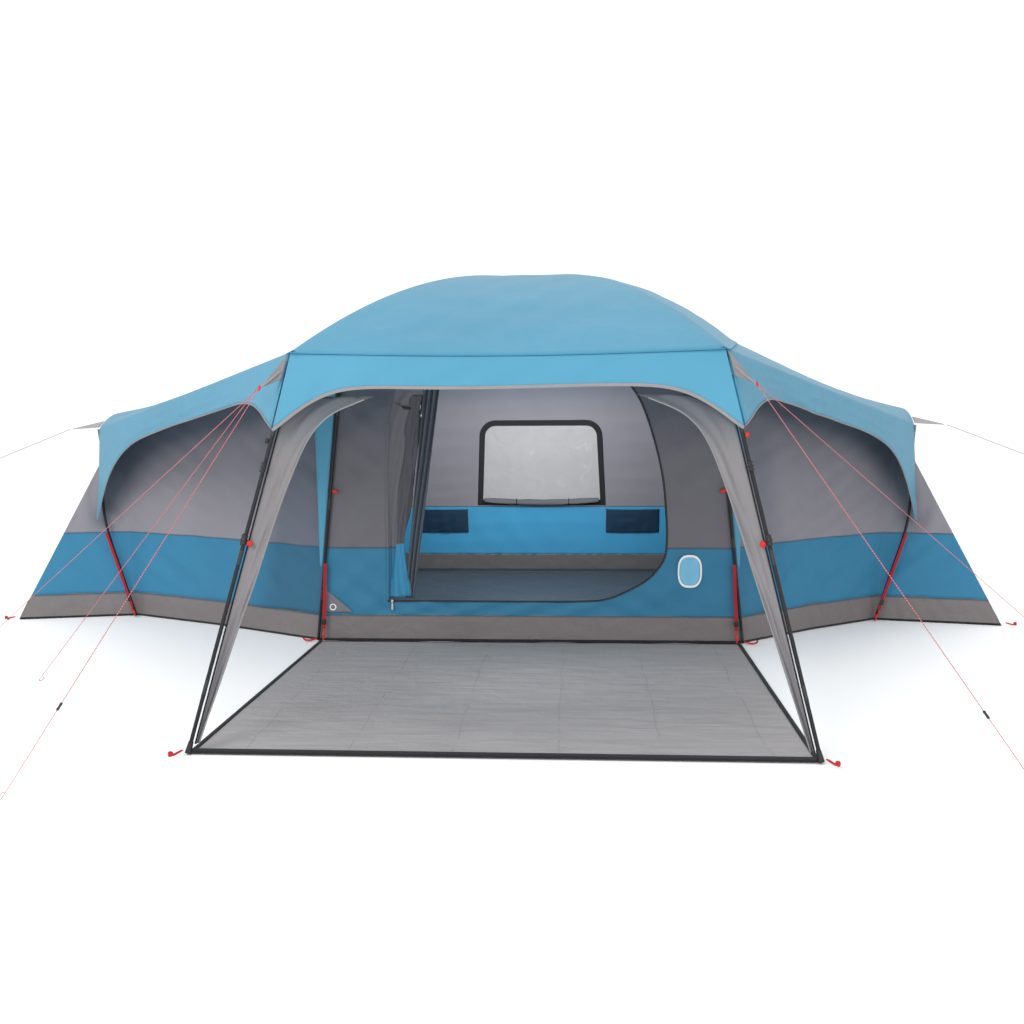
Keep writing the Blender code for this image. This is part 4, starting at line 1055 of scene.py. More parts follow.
def build_tub():
    """Groundsheet: an upstand round the whole plan and a floor, in one piece, crinkled where it turns up."""
    s = np.linspace(0, 8, 201)
    z = down(SKIRT_Z, 0.0, 16)
    right, left = wall_point(1, s[None], z), wall_point(-1, s[None, ::-1], z)
    straight = np.linspace(0, 1, 61)[1:-1]
    front = mix(left[:, -1:], right[:, :1], straight[None])
    rear = mix(right[:, -1:], left[:, :1], straight[None])
    ring = np.concatenate([right, rear, left, front], 1)
    run = run_along(ring[-1])[None]
    g = (z / SKIRT_Z)
    crumple = (creases(run + 0 * z, z + 0 * run, 0.35, 0.10, 91) * sizes().skirt_crumple
               + ripple(run + 0 * z, z + 0 * run, 0.06, 95) * 0.0030)
    ring = pushed(ring, -(crumple * np.sin(math.pi * np.clip(g, 0, 1)) ** 0.6))
    ring[..., 2] = np.maximum(ring[..., 2], 0.0)
    f = np.linspace(1, 0, 30)[1:, None, None]
    centre = np.array([-0.25, 0.0, 0.0])
    floor = centre + (ring[-1][None] - centre) * f
    x, y = floor[..., 0], floor[..., 1]
    lift = np.sin(math.pi * np.clip(1 - f[..., 0], 0, 1)) ** 0.5
    waves = (1 + ripple(x, y, 0.22, 97)) * (0.5 + 0.5 * np.abs(creases(x, y, 0.8, 0.5, 99)))
    floor[..., 2] = 0.0006 + lift * 0.004 * waves
    grid = np.concatenate([ring, floor], 0)
    obj = tidy(grid_mesh("groundsheet", grid, "Tub Inside", around=True), outward=False)
    obj.data.materials.append(finish("Tub Outside"))
    mod = thicken(obj, 0.0012).modifiers["thickness"]
    mod.material_offset, mod.material_offset_rim = 1, 0
    fixed(obj, BODY, ["groundsheet_tub"])
    grid_area(closed(grid))


# ---------------------------------------------------------------- poles
def pole_radius(path):
    """Radius along a pole: 8.5 mm, and 0.6 mm more over a joint sleeve every 0.55 m."""
    over_sleeve = np.abs((run_along(path) / SLEEVE_PITCH) % 1.0 - 0.5) < SLEEVE_SHARE
    return POLE_R + 0.0006 * over_sleeve


def build_poles():
    """Two crossed main poles, the room's arch pole and an arch pole for each pod."""
    for name, side, dip in (("main_pole_a", -1, 0.020), ("main_pole_b", 1, 0.0)):
        ts = np.array([0.0, 0.02, 0.05, 0.09, 0.14, 0.2, 0.28, 0.38, 0.5, 0.64, 0.78, 0.9, 1.0])
        pts = [leg_point(side, -1, np.linspace(0.004, 1.50, 6))]
        for end, order in ((-1, ts), (1, ts[-2::-1])):
            which = side if end < 0 else -side
            low = 0.014 + dip * np.maximum(0.0, (order - 0.6) / 0.4)
            pts.append(ridge(which, end, order) + vec(-which * 0.012 * (1 - order), -end * 0.012 * (1 - order), -low))
        pts.append(leg_point(-side, 1, np.linspace(1.50, 0.004, 6)))
        path = smooth_path(np.concatenate(pts), 420)
        obj = bar(f"{name}_rod", path, pole_radius(path), "Pole", 12)
        fixed(obj, BODY, [name])
    arch, t = arch_line()
    z_low = np.array([0.004, 0.4, 0.8, 1.2, 1.5])
    x = np.concatenate([pole_x(z_low), arch[:, 0] - 0.03 * (1 - t)])
    z = np.concatenate([z_low, arch[:, 2] - 0.040 - 0.03 * t])
    half = vec(x, POLE_Y, z)
    path = np.concatenate([half * [-1, 1, 1], [(0.0, POLE_Y, z[-1] + 0.004)], half[::-1]])
    path = smooth_path(path, 300)
    fixed(bar("room_arch_rod", path, pole_radius(path), "Pole", 12), BODY, ["room_arch_pole"])
    for side, tag in SIDES:
        more = POD_EXTRA_LEFT if side < 0 else 0.0
        up = np.array([(POD_FOOT_X, -0.594, 0.004), (2.29, -0.59, 0.30), (2.395, -0.566, 0.65), (2.418, -0.528, 1.0)])
        up = (up + [more, 0, 0]) * [side, 1, 1]
        k = np.arange(1, 16) / 16
        over = pod_arch(side, k) + vec(-side * 0.016, 0.010 * np.sign(0.5 - k), -0.019)
        path = smooth_path(np.concatenate([up, over, up[::-1] * [1, -1, 1]]), 240)
        fixed(bar(f"pod_rod_{tag}", path, pole_radius(path), "Pole", 12), BODY, [f"pod_pole_{tag}"])


# ---------------------------------------------------------------- porch
def build_porch():
    """Porch mat with bound edges, and the gussets laced along its legs."""
    f = down(0, 1, 90)
    g = along_row(-1, 1, 110)
    y = PORCH_FRONT + 0.012 + (ROOM_FRONT - 0.035 - PORCH_FRONT - 0.012) * f
    left = -1.290 + 0.054 * f
    x = left + (1.250 - 0.014 * f - left) * (g + 1) / 2
    inside = np.sin(math.pi * f) ** 0.4 * np.cos(g * math.pi / 2) ** 0.4
    z = 0.0010 + sizes().mat_ripple * inside * (0.6 + 0.5 * ripple(x, y + 0 * x, 0.30, 101)
                                    + 0.5 * np.abs(creases(x, y + 0 * x, 0.4, 0.7, 103)))
    z = z + 0.0020 * inside * ripple(x, y + 0 * x, 0.07, 105)
    cloth("mat_cloth", vec(x, y, np.maximum(z, 0.0008)), "Porch Mat", ["porch_mat"])
    wave = 0.004 * np.sin(9 * x[-1]) + 0.0075
    lines = {
        "front": vec(np.linspace(-1.292, 1.252, 80), PORCH_FRONT + 0.020, 0.0068),
        "back": vec(np.linspace(-1.234, 1.234, 110), ROOM_FRONT - 0.038, wave),
        "left": vec(np.linspace(-1.287, -1.236, 60), np.linspace(PORCH_FRONT + 0.03, ROOM_FRONT - 0.045, 60), 0.004),
        "right": vec(np.linspace(1.248, 1.236, 60), np.linspace(PORCH_FRONT + 0.03, ROOM_FRONT - 0.045, 60), 0.004),
    }
    for name, line in lines.items():
        half_wide = {"front": 0.024, "back": 0.0065}.get(name, 0.010)
        half_high = {"front": 0.0060, "back": 0.0060}.get(name, 0.0034)
        tape = ribbon(f"mat_binding_{name}", line, half_wide, half_high, "Binding", 0.6, seed=(0, 0, 1.0))
        fixed(tape)
    for side, tag in SIDES:
        z = down(0.035, 1.45, 110)
        g = along_row(0, 1, 15)
        wide = 0.010 + 0.080 * z + 0.21 * np.exp((z - 1.44) / 0.07)
        leg = leg_point(side, -1, z[:, 0])[:, None]
        fold = 0.005 * np.sin(9 * z + 9.0 * g) * g + 0.012 * np.sin(math.pi * g) * (1 + 0.6 * np.sin(6 * z)) \
            + 0.0060 * np.sin(14 * z - 16.0 * g + 1.0) * g
        grid = vec(leg[..., 0] - side * (0.018 + wide * g), leg[..., 1] + 0.018 + fold, z)
        # painted shade: each gusset darkens towards its top from 1.15 m
        cloth(f"gusset_{tag}", grid, "Gusset Cloth", [f"porch_gusset_{tag}"],
              shade=ease((z - 1.15) / 0.30) + 0 * g)
        hem = bar(f"gusset_edge_{tag}", smooth_path(grid[::4, -1], 90), 0.0028, "Piping", 8)
        fixed(hem)
        line = smooth_path(grid[::4, 0] + np.array([side * 0.004, 0, 0]), 90)
        fixed(ribbon(f"gusset_lace_{tag}", line, 0.0032, 0.0014, "Binding"))


def build_tabs():
    """Doubled tabs that take the guy lines at the hubs and the pods' shoulders; each hub tab has a strap loop."""
    for side, tag in SIDES:
        hub = ridge(side, -1, 0.0) + np.array([side * 0.006, -0.008, -0.006])
        low = hub + np.array([side * 0.026, -0.022, -0.105])
        tip = np.array([side * 1.015, -3.072, 1.487])
        f = down(0, 0.93, 14)
        g = along_row(0, 1, 9)
        grid = mix(mix(hub, tip, f), mix(low, tip, f), g + 0 * f)
        cloth(f"hub_tab_{tag}_cloth", grid, "Gusset Cloth", [f"hub_tab_{tag}"], thick=0.0022)
        a = pod_arch(side, 0.02) + np.array([side * 0.006, -0.004, 0])
        b = pod_arch(side, 0.13) + np.array([side * 0.006, 0, 0])
        tip2 = pod_arch(side, 0.0) + np.array([side * 0.205, 0.01, 0.0])
        grid = mix(mix(a, tip2, f), mix(b, tip2, f), g + 0 * f)
        cloth(f"shoulder_tab_{tag}_cloth", grid, "Trim Cloth", [f"shoulder_tab_{tag}"],
              thick=0.0022)
        # webbing loop from the hub tab to the guy lines, with its moulded clip
        knot = np.array([side * 1.017, -3.075, 1.487])
        path = smooth_path([low + [side * 0.002, -0.004, 0.035], mix(low, knot, 0.6) + [0, -0.006, 0.012], knot], 24)
        fixed(ribbon(f"hub_loop_{tag}", path, 0.004, 0.0012, "Piping", seed=(0, 1.0, 0)))
        s = np.linspace(-1, 1, 17)
        clip = knot + s[:, None] * np.array([side * 0.003, -0.002, -0.011])
        swell = rounded_end(s, 5, 0.03)
        obj = ribbon(f"hub_clip_{tag}", clip, 0.0048 * swell, 0.0034 * swell, "Red Plastic", 0.5)
        fixed(obj)


def build_straps():
    """Red tension straps with ladder buckles, their stakes, and the hooked stakes at feet and corners."""
    for side, tag in SIDES:
        more = POD_EXTRA_LEFT if side < 0 else 0.0
        x0 = pole_x(0.45) - 0.030
        runs = {
            "mid": [(side * (x0 + 0.020), ROOM_FRONT - 0.036, 0.470),
                    (side * (x0 + 0.038), ROOM_FRONT - 0.036, 0.080),
                    (side * (x0 + 0.040), ROOM_FRONT - 0.040, 0.036),
                    (side * (x0 + 0.041), ROOM_FRONT - 0.046, 0.006)],
            "pod": [(side * (2.378 + more), -0.598, 0.560), (side * (2.215 + more), -0.622, 0.075),
                    (side * (2.200 + more), -0.628, 0.036), (side * (2.190 + more), -0.638, 0.006)],
        }
        for kind, pts in runs.items():
            pts = np.array(pts)
            web = mix(pts[0], pts[1], np.linspace(0, 1, 60))
            half = 0.0100 if kind == "mid" else 0.0090
            strap = ribbon(f"strap_{kind}_{tag}_web", web, half, 0.0009, "Red Webbing", seed=(0, 1.0, 0))
            fixed(strap, BODY, [f"strap_{kind}_{tag}"])
            s = np.linspace(-1, 1, 17)
            swell = rounded_end(s, 6, 0.03)
            mid = mix(pts[0], pts[1], 0.90) + np.array([0, -0.003, 0])
            along = (pts[1] - pts[0]) / np.linalg.norm(pts[1] - pts[0])
            buckle = ribbon(f"buckle_{kind}_{tag}", mid + along * s[:, None] * 0.017, (half + 0.004) * swell,
                            0.0035 * swell, "Black Plastic", 0.5)
            fixed(buckle)
            path = smooth_path([pts[1], pts[1] + [0, 0, -0.026], pts[2], pts[3]], 30)
            f = np.linspace(0, 1, 30)
            stake = ribbon(f"stake_{kind}_{tag}", path, 0.0040 + 0.0045 * bump(f, 0.52, 0.2),
                           0.0024 + 0.0026 * bump(f, 0.55, 0.22), "Red Plastic", 0.6)
            fixed(stake)
        for name, x, y, dx, dy in (("porch", side * (FOOT_X[side] + 0.014), PORCH_FRONT - 0.010, side * 0.60, -0.8),
                                   ("pod", side * (POD_END_X + 0.012 + more), -0.735, side, -0.35)):
            along = np.array([dx, dy, 0.0]) / math.hypot(dx, dy)
            at = np.array([x, y, 0.0])
            f = np.linspace(0, 1, 40)
            path = at + along * (0.004 + 0.064 * f)[:, None] + vec(0 * f, 0 * f, 0.020 - 0.008 * ease(f / 0.7)
                                                                   + 0.007 * ease((f - 0.7) / 0.2))
            high = 0.003 + 0.0015 * ease(f / 0.3) + 0.0075 * ease((f - 0.72) / 0.12) * np.sqrt(np.clip(
                1 - ((f - 0.86) / 0.16) ** 4, 0.1, 1))
            obj = ribbon(f"stake_{name}_{tag}_pin", path, 0.0045 + 0.0015 * ease((f - 0.7) / 0.1), high,
                         "Red Plastic", 0.6, seed=(0, 0, 1.0))
            fixed(obj, BODY, [f"stake_{name}_{tag}"])


def build_clips():
    """Moulded clips, collars, locks and foot caps of the porch legs, and the clips and stakes of the arch pole."""
    for side, tag in SIDES:
        at = leg_point(side, -1, CLIP_Z)
        f = np.linspace(0, 1, 24)
        path = smooth_path([at + [-side * 0.0135, 0, 0.004], at + [-side * 0.020, 0.003, -0.002],
                            at + [-side * 0.034, 0.004, -0.010]], 24)
        high = 0.007 + 0.006 * np.sin(math.pi * f) ** 1.2
        high[[0, -1]] *= 0.6
        obj = ribbon(f"leg_clip_{tag}_part", path, 0.006, high, "Red Plastic", 0.5, seed=(0, 0, 1.0))
        fixed(obj, BODY, [f"leg_clip_{tag}"])
        s = np.linspace(-1, 1, 21)
        along = leg_point(side, -1, CLIP_Z + 0.1) - at
        along /= np.linalg.norm(along)
        r = 0.0092 + 0.0048 * (1 - np.abs(s) ** 4) + 0.0010 * np.cos(3 * math.pi * s)
        sleeve = at + along * s[:, None] * 0.026 + [0, 0, 0.012]
        collar = bar(f"leg_collar_{tag}", sleeve, r, "Black Plastic", 20)
        fixed(collar)
        near, low_y = pole_x(0.02), POLE_Y - 0.018
        peg = smooth_path([(side * (near + 0.008), low_y, 0.016), (side * (near + 0.042), low_y - 0.012, 0.009),
                           (side * (near + 0.072), low_y - 0.018, 0.013),
                           (side * (near + 0.084), low_y - 0.019, 0.027)], 30)
        fixed(bar(f"arch_peg_{tag}", peg, 0.0055, "Red Plastic", 12))
        mid = np.array([side * pole_x(0.90), POLE_Y, 0.90])
        hook = smooth_path([mid + [-side * 0.0125, -0.004, 0.002], mid + [-side * 0.028, -0.006, -0.002],
                            mid + [-side * 0.046, -0.006, -0.006]], 20)
        tall = 0.007 + 0.005 * np.sin(math.pi * np.linspace(0, 1, 20))
        clip = ribbon(f"arch_clip_{tag}", hook, 0.005, tall, "Red Plastic", 0.5, seed=(0, 0, 1.0))
        fixed(clip)
        ring = mid + np.array([0, 0, 1.0]) * s[:, None] * 0.012 + [side * 0.0013, 0, 0]
        fixed(bar(f"arch_collar_{tag}", ring, 0.0092 + 0.0022 * (1 - np.abs(s) ** 4), "Black Plastic", 20))
        tip = leg_point(side, -1, 1.285 if side > 0 else 1.27)
        bead = tip + s[:, None] * np.array([0.003, 0, 0.012]) + [side * 0.016, -0.006, 0]
        swell = rounded_end(s, 3, 0.02)
        part = ribbon(f"leg_tip_{tag}", bead, 0.0078 * swell, 0.0065 * swell,
                      "Red Plastic" if side > 0 else "Black Plastic", 0.6)
        fixed(part)
        lock = leg_point(side, -1, 1.16)
        body = lock + along * s[:, None] * 0.024 + [0, -0.010, 0]
        wide = (0.0105 + 0.0025 * np.cos(3 * math.pi * s)) * rounded_end(s, 8, 0.05)
        fixed(ribbon(f"leg_lock_{tag}", body, wide, wide * 0.8, "Black Plastic", 0.6))
        foot = leg_point(side, -1, np.linspace(0.003, 0.05, 16))
        f = np.linspace(0, 1, 16)
        cap = bar(f"leg_foot_{tag}", foot, 0.0105 + 0.0035 * (1 - ease(f)), "Black Plastic", 20)
        fixed(cap)


# ---------------------------------------------------------------- door and window
ROLL_FOOT, ROLL_TOP, ROLL_ROWS = 0.262, 1.46, 90
ROLL_TURNS, ROLL_LAYER = 3.1, 0.0148
CURTAIN_FOOT, CURTAIN_TOP = 0.25, 1.62


def build_door():
    """Door rolled back to the left: a spiral roll, the hanging curtain, its tie, the zip and its slider."""
    # roll: the radius starts at 11 mm and grows by one layer a turn; flattened front to back, drawn in at the tie
    z = down(ROLL_FOOT, ROLL_TOP, ROLL_ROWS)
    a = along_row(0, ROLL_TURNS * 2 * math.pi, 190)
    swell = 1.0 - 0.28 * bump(z, 1.375, 0.05) - 0.38 * bump(z, 0.60, 0.13) + 0.42 * bump(z, 0.27, 0.11)
    r = (0.011 + ROLL_LAYER * a / (2 * math.pi)) * swell
    r = r + (0.0050 * np.sin(5 * a + 5 * np.sin(3 * z)) + 0.0035 * np.sin(9 * a + 14 * z)) * ease(a / 9) * swell
    heart = smooth_path([(-0.785, 0, ROLL_FOOT), (-0.775, 0, 0.58), (-0.735, 0, 0.93),
                         (-0.670, 0, 1.40), (-0.664, 0, ROLL_TOP)], ROLL_ROWS)
    x = heart[:, :1] + r * np.cos(a + 0.5 * z)
    y = ROOM_FRONT + 0.052 + 0.62 * r * np.sin(a + 0.5 * z)
    cloth("door_roll_cloth", vec(x, y, z), "Roll Lower", ["door_roll"], thick=0.001)
    # slack cloth between the hinge edge and the roll
    z = down(0.255, 1.60, ROLL_ROWS)
    g = along_row(0, 1, 24)
    hinge = np.interp(z, [DOOR_SILL, BAND_Z, 1.0, 1.30, 1.52, 1.60],
                      [DOOR_LEFT, DOOR_LEFT + 0.006, -0.828, -0.812, -0.762, -0.700])
    to = np.interp(z, np.append(np.linspace(ROLL_FOOT, ROLL_TOP, ROLL_ROWS), 1.60), np.append(heart[:, 0], -0.600))
    x = hinge - 0.012 + (to + 0.006 + 0.065 * ease((z - 1.42) / 0.05) - hinge) * g
    y = ROOM_FRONT + 0.006 + 0.026 * g + 0.006 * np.sin(9 * g + 5 * np.sin(2.2 * z)) * np.sin(math.pi * g)
    cloth("door_slack_cloth", vec(x, y, z), "Front Cloth", ["door_roll"])
    # inner curtain: a pleated strip, wider and deeper towards the top
    z = down(CURTAIN_FOOT, CURTAIN_TOP, ROLL_ROWS)
    g = along_row(0, 1, 70)
    k = (z - CURTAIN_FOOT) / 1.22
    x = -0.745 + 0.140 * k + (0.060 + 0.030 * k) * g
    y = ROOM_FRONT + 0.045 + (0.014 + 0.006 * k) * np.sin(18 * g + 1.5 * np.sin(3 * z)) + 0.004 * np.sin(7 * z)
    cloth("door_curtain_cloth", vec(x, y, z), "Curtain", ["door_curtain"])
    # tie: a flat toggle in a loop of tape
    s = np.linspace(-1, 1, 25)
    swell = rounded_end(s, 4, 0.03)
    path = np.array([-0.700, ROOM_FRONT - 0.006, 1.383]) + s[:, None] * np.array([0.026, 0, -0.005])
    toggle = ribbon("door_toggle", path, 0.0016 * swell + 0.0008, 0.0085 * swell, "Black Plastic", 0.7,
                    seed=(0, 0, 1.0))
    fixed(toggle, BODY, ["door_tie_toggle"])
    w = np.linspace(0, 1, 40)
    loop = vec(-0.712 - 0.06 * w, ROOM_FRONT - 0.004 + 0.004 * np.sin(math.pi * w), 1.390 + 0.030 * w ** 1.5)
    tie = bar("door_tie_loop", loop, 0.0018, "Binding", 8)
    fixed(tie)
    track = smooth_path(vec(DOOR_EDGE[:14, 0], ROOM_FRONT - 0.005, DOOR_EDGE[:14, 1]), 320)
    obj = bar("door_zip_line", track, 0.0036, "Zip", 8)
    fixed(obj, BODY, ["door_zip_track"])
    tape = ribbon("door_zip_tape", track + np.array([0, 0.003, 0]), 0.0055, 0.0009, "Binding",
                  seed=(0, 1.0, 0))
    fixed(tape)
    left = vec(np.array([DOOR_LEFT, DOOR_LEFT + 0.006, -0.828, -0.812]), ROOM_FRONT - 0.003,
               np.array([DOOR_SILL, BAND_Z, 1.0, 1.30]))
    hinge_tape = ribbon("door_left_binding", smooth_path(left, 90), 0.0060, 0.0010, "Front Cloth",
                        seed=(0, 1.0, 0))
    fixed(hinge_tape)
    # slider: body and pull tab on the zip, one moulding in outline
    sx, sy = DOOR_LEFT + 0.030, ROOM_FRONT - 0.0135
    zz = DOOR_SILL + np.linspace(0.010, -0.052, 40)
    f = np.linspace(0, 1, 40)
    wide = 0.0055 + 0.0025 * bump(f, 0.12, 0.10) - 0.0028 * bump(f, 0.38, 0.06) + 0.0006 * ease((f - 0.5) / 0.3)
    wide = wide * np.sqrt(np.clip(1 - ((f - 0.5) / 0.505) ** 12, 0.05, 1))
    deep = 0.0012 + 0.0028 * (1 - ease((f - 0.26) / 0.10))
    slider = ribbon("zip_slider_piece", vec(sx, sy - 0.001 * ease((f - 0.3) / 0.1), zz), wide, deep,
                    "Slider Metal", 0.5)
    fixed(slider, "zip_slider", ["zip_slider"])


BLIND_HALF, BLIND_OUT, BLIND_TIES = 0.46, 0.042, (-0.2, 0.22)


def blind_z(x):
    """Height of the rolled blind's heart: it sags away from its middle as 1 - cos(pi x)."""
    return 0.618 - 0.022 * np.cos(math.pi * x)


def build_window():
    """Rear window: a clear pane, a taped frame round it and the blind rolled along its sill."""
    inner = rounded_window(WIN[0] + 0.022, WIN[1] - 0.022, WIN[2] + 0.022, WIN[3] - 0.022, 0.108, 0.03)
    centre = (0.0, 0.90)
    ang = np.linspace(0, 2 * math.pi, 160, endpoint=False)
    r = reach(inner, centre, ang)
    f = down(0.0, 1.0, 26)
    x, z = centre[0] + r * np.cos(ang) * f, centre[1] + r * np.sin(ang) * f
    sag = 0.004 * ripple(x, z, 0.16, 121) * (1 - f ** 4)
    cloth("pane_film", back_point(x, z, 0.001) + vec(0 * x, sag, 0 * x), "Pane",
          ["window_pane"], thick=0.0006, around=True)
    out = rounded_window(*WIN[:2], WIN[2], WIN[3], 0.13, 0.03)
    hole = rounded_window(WIN[0] + 0.045, WIN[1] - 0.045, WIN[2] + 0.045, WIN[3] - 0.045, 0.085, 0.03)
    flat = ring_plane(hole, out, centre, 220, 9)
    for name, inward in (("window_tape", 0.0040), ("window_tape_outside", -0.0050)):
        cloth(name, back_point(flat[..., 0], flat[..., 1], inward), "Binding",
              ["window_frame"], thick=0.0028, around=True)
    # rolled blind: a spiral round a sagging line
    x = down(-BLIND_HALF, BLIND_HALF, 120)
    a = along_row(0, 2.6 * 2 * math.pi, 130)
    tied = 1 - 0.16 * bump(x, BLIND_TIES[0], 0.03) - 0.16 * bump(x, BLIND_TIES[1], 0.03)
    fat = (0.60 + 0.40 * np.sin(math.pi * (x + BLIND_HALF) / (2 * BLIND_HALF)) ** 0.5) * tied
    r = ((0.008 + 0.0078 * a / (2 * math.pi)) * fat + 0.0016 * np.sin(3 * a + 9 * x)
         + 0.0018 * ripple(x, a * 0.05, 0.09, 125))
    z0 = blind_z(x)
    grid = vec(x, ROOM_BACK - BACK_LEAN * z0 - BLIND_OUT + r * np.cos(a), z0 + r * np.sin(a))
    cloth("blind_roll", grid, "Roll Cloth", ["window_flap_roll"], thick=0.001)
    for k, at in enumerate(BLIND_TIES):
        w = np.arange(40) / 40 * 2 * math.pi
        z1 = blind_z(at)
        ring = vec(at, ROOM_BACK - BACK_LEAN * z1 - BLIND_OUT + 0.0275 * np.cos(w), z1 + 0.0275 * np.sin(w))
        ring = np.concatenate([ring, ring[:1] + [0.0005, 0, 0]])
        fixed(ribbon(f"blind_tie_{k}", ring, 0.004, 0.0008, "Binding", seed=(0, 0.3, 1.0)))


def build_pockets():
    """Open pockets on the rear wall: a bag whose mouth gapes and whose foot is pleated."""
    for tag, x0, x1 in (("left", -1.02, -0.60), ("right", 0.52, 0.95)):
        z0, z1 = 0.345, 0.535
        g = down(0, 1, 60)
        h = along_row(0, 1, 26)
        z = z1 - (z1 - z0) * h
        depth = 0.044 * np.sin(math.pi * g) ** 0.35 * (1 - 0.55 * h ** 2)
        pleat = 0.004 * np.sin(26 * g) * h + 0.004 * ripple(g, h, 0.18, 131)
        wall_y = ROOM_BACK - BACK_LEAN * z - 0.003
        grid = vec(x0 + (x1 - x0) * g + 0 * h, wall_y - 0.002 - depth - pleat * np.sin(math.pi * g), z)
        foot = grid[:, -1:] * (1 - np.linspace(0, 1, 8)[None, 1:, None]) + \
            vec(grid[:, -1:, 0], wall_y[:, -1:] - 0.002, z0) * np.linspace(0, 1, 8)[None, 1:, None]
        grid = np.concatenate([grid, foot], 1)
        cloth(f"pocket_{tag}_cloth", grid, "Pocket Cloth", [f"pocket_{tag}"])
        hem = bar(f"pocket_hem_{tag}", grid[:, 0] + [0, 0, 0.001], 0.0026, "Binding", 8)
        fixed(hem)


def build_patches():
    """Small sewn reinforcements: a plain oval patch with a border, and a corner piece with a round eyelet cover."""
    w = np.linspace(0, 2 * math.pi, 72, endpoint=False)
    c, k = np.cos(w), np.sin(w)
    c, k = np.sign(c) * np.abs(c) ** 0.75, np.sign(k) * np.abs(k) ** 0.75
    for name, wide, high, grow, look in (("patch_field", 0.060, 0.086, np.linspace(0, 1, 9), "Patch Field"),
                                         ("patch_border", 0.070, 0.097, np.linspace(0.86, 1, 5), "Patch")):
        f = grow[:, None]
        out = 0.0100 if name == "patch_border" else 0.0085
        grid = vec(0.948 + wide * c * f, ROOM_FRONT - out, 0.425 + high * k * f)
        patch(name, grid, look, around=True)
    g, h = np.meshgrid(np.linspace(0, 1, 20), np.linspace(0, 1, 20), indexing="ij")
    corner = mix(mix((-1.222, 0, 0.172), (-1.208, 0, 0.312), g), mix((-1.045, 0, 0.172), (-1.208, 0, 0.312), g), h)
    corner[..., 1] = ROOM_FRONT - 0.0090
    patch("corner_piece", corner, "Front Grey")
    ring = vec(-1.166 + 0.017 * np.cos(w), ROOM_FRONT - 0.0105, 0.203 + 0.017 * np.sin(w))
    ring = np.concatenate([ring, ring[:2]])
    fixed(ribbon("corner_eyelet", ring, 0.0030, 0.0008, "Patch", seed=(0, 1.0, 0)))


# ---------------------------------------------------------------- properties, operators and panel
def length(label, text, value):
    return bpy.props.FloatProperty(name=label, description=text, default=value, min=0.0, subtype="DISTANCE",
                                   unit="LENGTH")


def colour(label, text, value):
    return bpy.props.FloatVectorProperty(name=label, description=text, default=value, size=3, min=0.0, max=1.0,
                                         subtype="COLOR")


class TentSizes(bpy.types.PropertyGroup):
    """Thickness of the cloths and how deep their folds are."""

    cloth_thickness: length("Cloth Thickness", "Thickness given to every cloth and coated sheet", 0.0012)
    fly_fold: length("Fly Fold", "Depth of the tension folds in the fly", 0.0105)
    wall_fold: length("Wall Fold", "Depth of the slack folds in the pod walls", 0.014)
    skirt_crumple: length("Skirt Crumple", "Depth of the crumples in the groundsheet's upstand", 0.007)
    mat_ripple: length("Mat Ripple", "Height of the waves in the porch mat", 0.0075)


class TentColours(bpy.types.PropertyGroup):
    """Colours of the tent's cloths and fittings."""

    fly: colour("Fly", "Rain fly cloth", (0.078, 0.315, 0.470))
    wall: colour("Wall", "Upper wall cloth", (0.275, 0.266, 0.302))
    band: colour("Band", "Lower wall cloth", (0.036, 0.218, 0.380))
    tub: colour("Tub", "Outside of the groundsheet's upstand", (0.160, 0.143, 0.143))
    # painted shade: a darker copy of the tub colour, for the inside of the upstand
    tub_inside: colour("Tub Inside", "Inside of the upstand", (0.105, 0.098, 0.100))
    floor_cloth: colour("Floor Cloth", "Inside of the groundsheet", (0.028, 0.048, 0.070))
    porch_mat: colour("Porch Mat", "Porch groundsheet", (0.365, 0.345, 0.345))
    trim: colour("Trim", "Gussets and tabs", (0.300, 0.290, 0.300))
    piping: colour("Piping", "Bound edges of the fly", (0.220, 0.215, 0.220))
    binding: colour("Binding", "Black tapes and hems", (0.010, 0.010, 0.012))
    roll: colour("Roll", "Rolled door and blind", (0.090, 0.092, 0.105))
    curtain: colour("Curtain", "Inner door curtain", (0.088, 0.108, 0.136))
    pocket: colour("Pocket", "Pocket cloth", (0.002, 0.024, 0.054))
    pane: colour("Pane", "Window film", (0.340, 0.340, 0.345))
    red: colour("Red", "Red fittings", (0.42, 0.010, 0.012))
    strap: colour("Strap", "Red straps", (0.30, 0.010, 0.018))


class TENT_OT_stage(bpy.types.Operator):
    """Lay the floor, the soft lights and the camera."""

    bl_idname = "tent.stage"
    bl_label = "Stage"

    def execute(self, context):
        build_stage()
        return {"FINISHED"}


class TENT_OT_guys(bpy.types.Operator):
    """Run every guy cord and put the tensioners on them."""

    bl_idname = "tent.guys"
    bl_label = "Guy Lines"

    def execute(self, context):
        build_guys()
        return {"FINISHED"}


class TENT_OT_fly_roof(bpy.types.Operator):
    """Stretch the domed roof over the crossed poles."""

    bl_idname = "tent.fly_roof"
    bl_label = "Fly Roof"

    def execute(self, context):
        build_fly_roof()
        return {"FINISHED"}


class TENT_OT_valances(bpy.types.Operator):
    """Hang the strips from the front and rear eaves."""

    bl_idname = "tent.valances"
    bl_label = "Valances"

    def execute(self, context):
        build_valances()
        return {"FINISHED"}


class TENT_OT_pod_fly(bpy.types.Operator):
    """Stretch the fly over the two pods."""

    bl_idname = "tent.pod_fly"
    bl_label = "Pod Fly"

    def execute(self, context):
        build_pod_fly()
        return {"FINISHED"}


class TENT_OT_front_wall(bpy.types.Operator):
    """Sew the front wall round the door opening."""

    bl_idname = "tent.front_wall"
    bl_label = "Front Wall"

    def execute(self, context):
        build_front_wall()
        return {"FINISHED"}


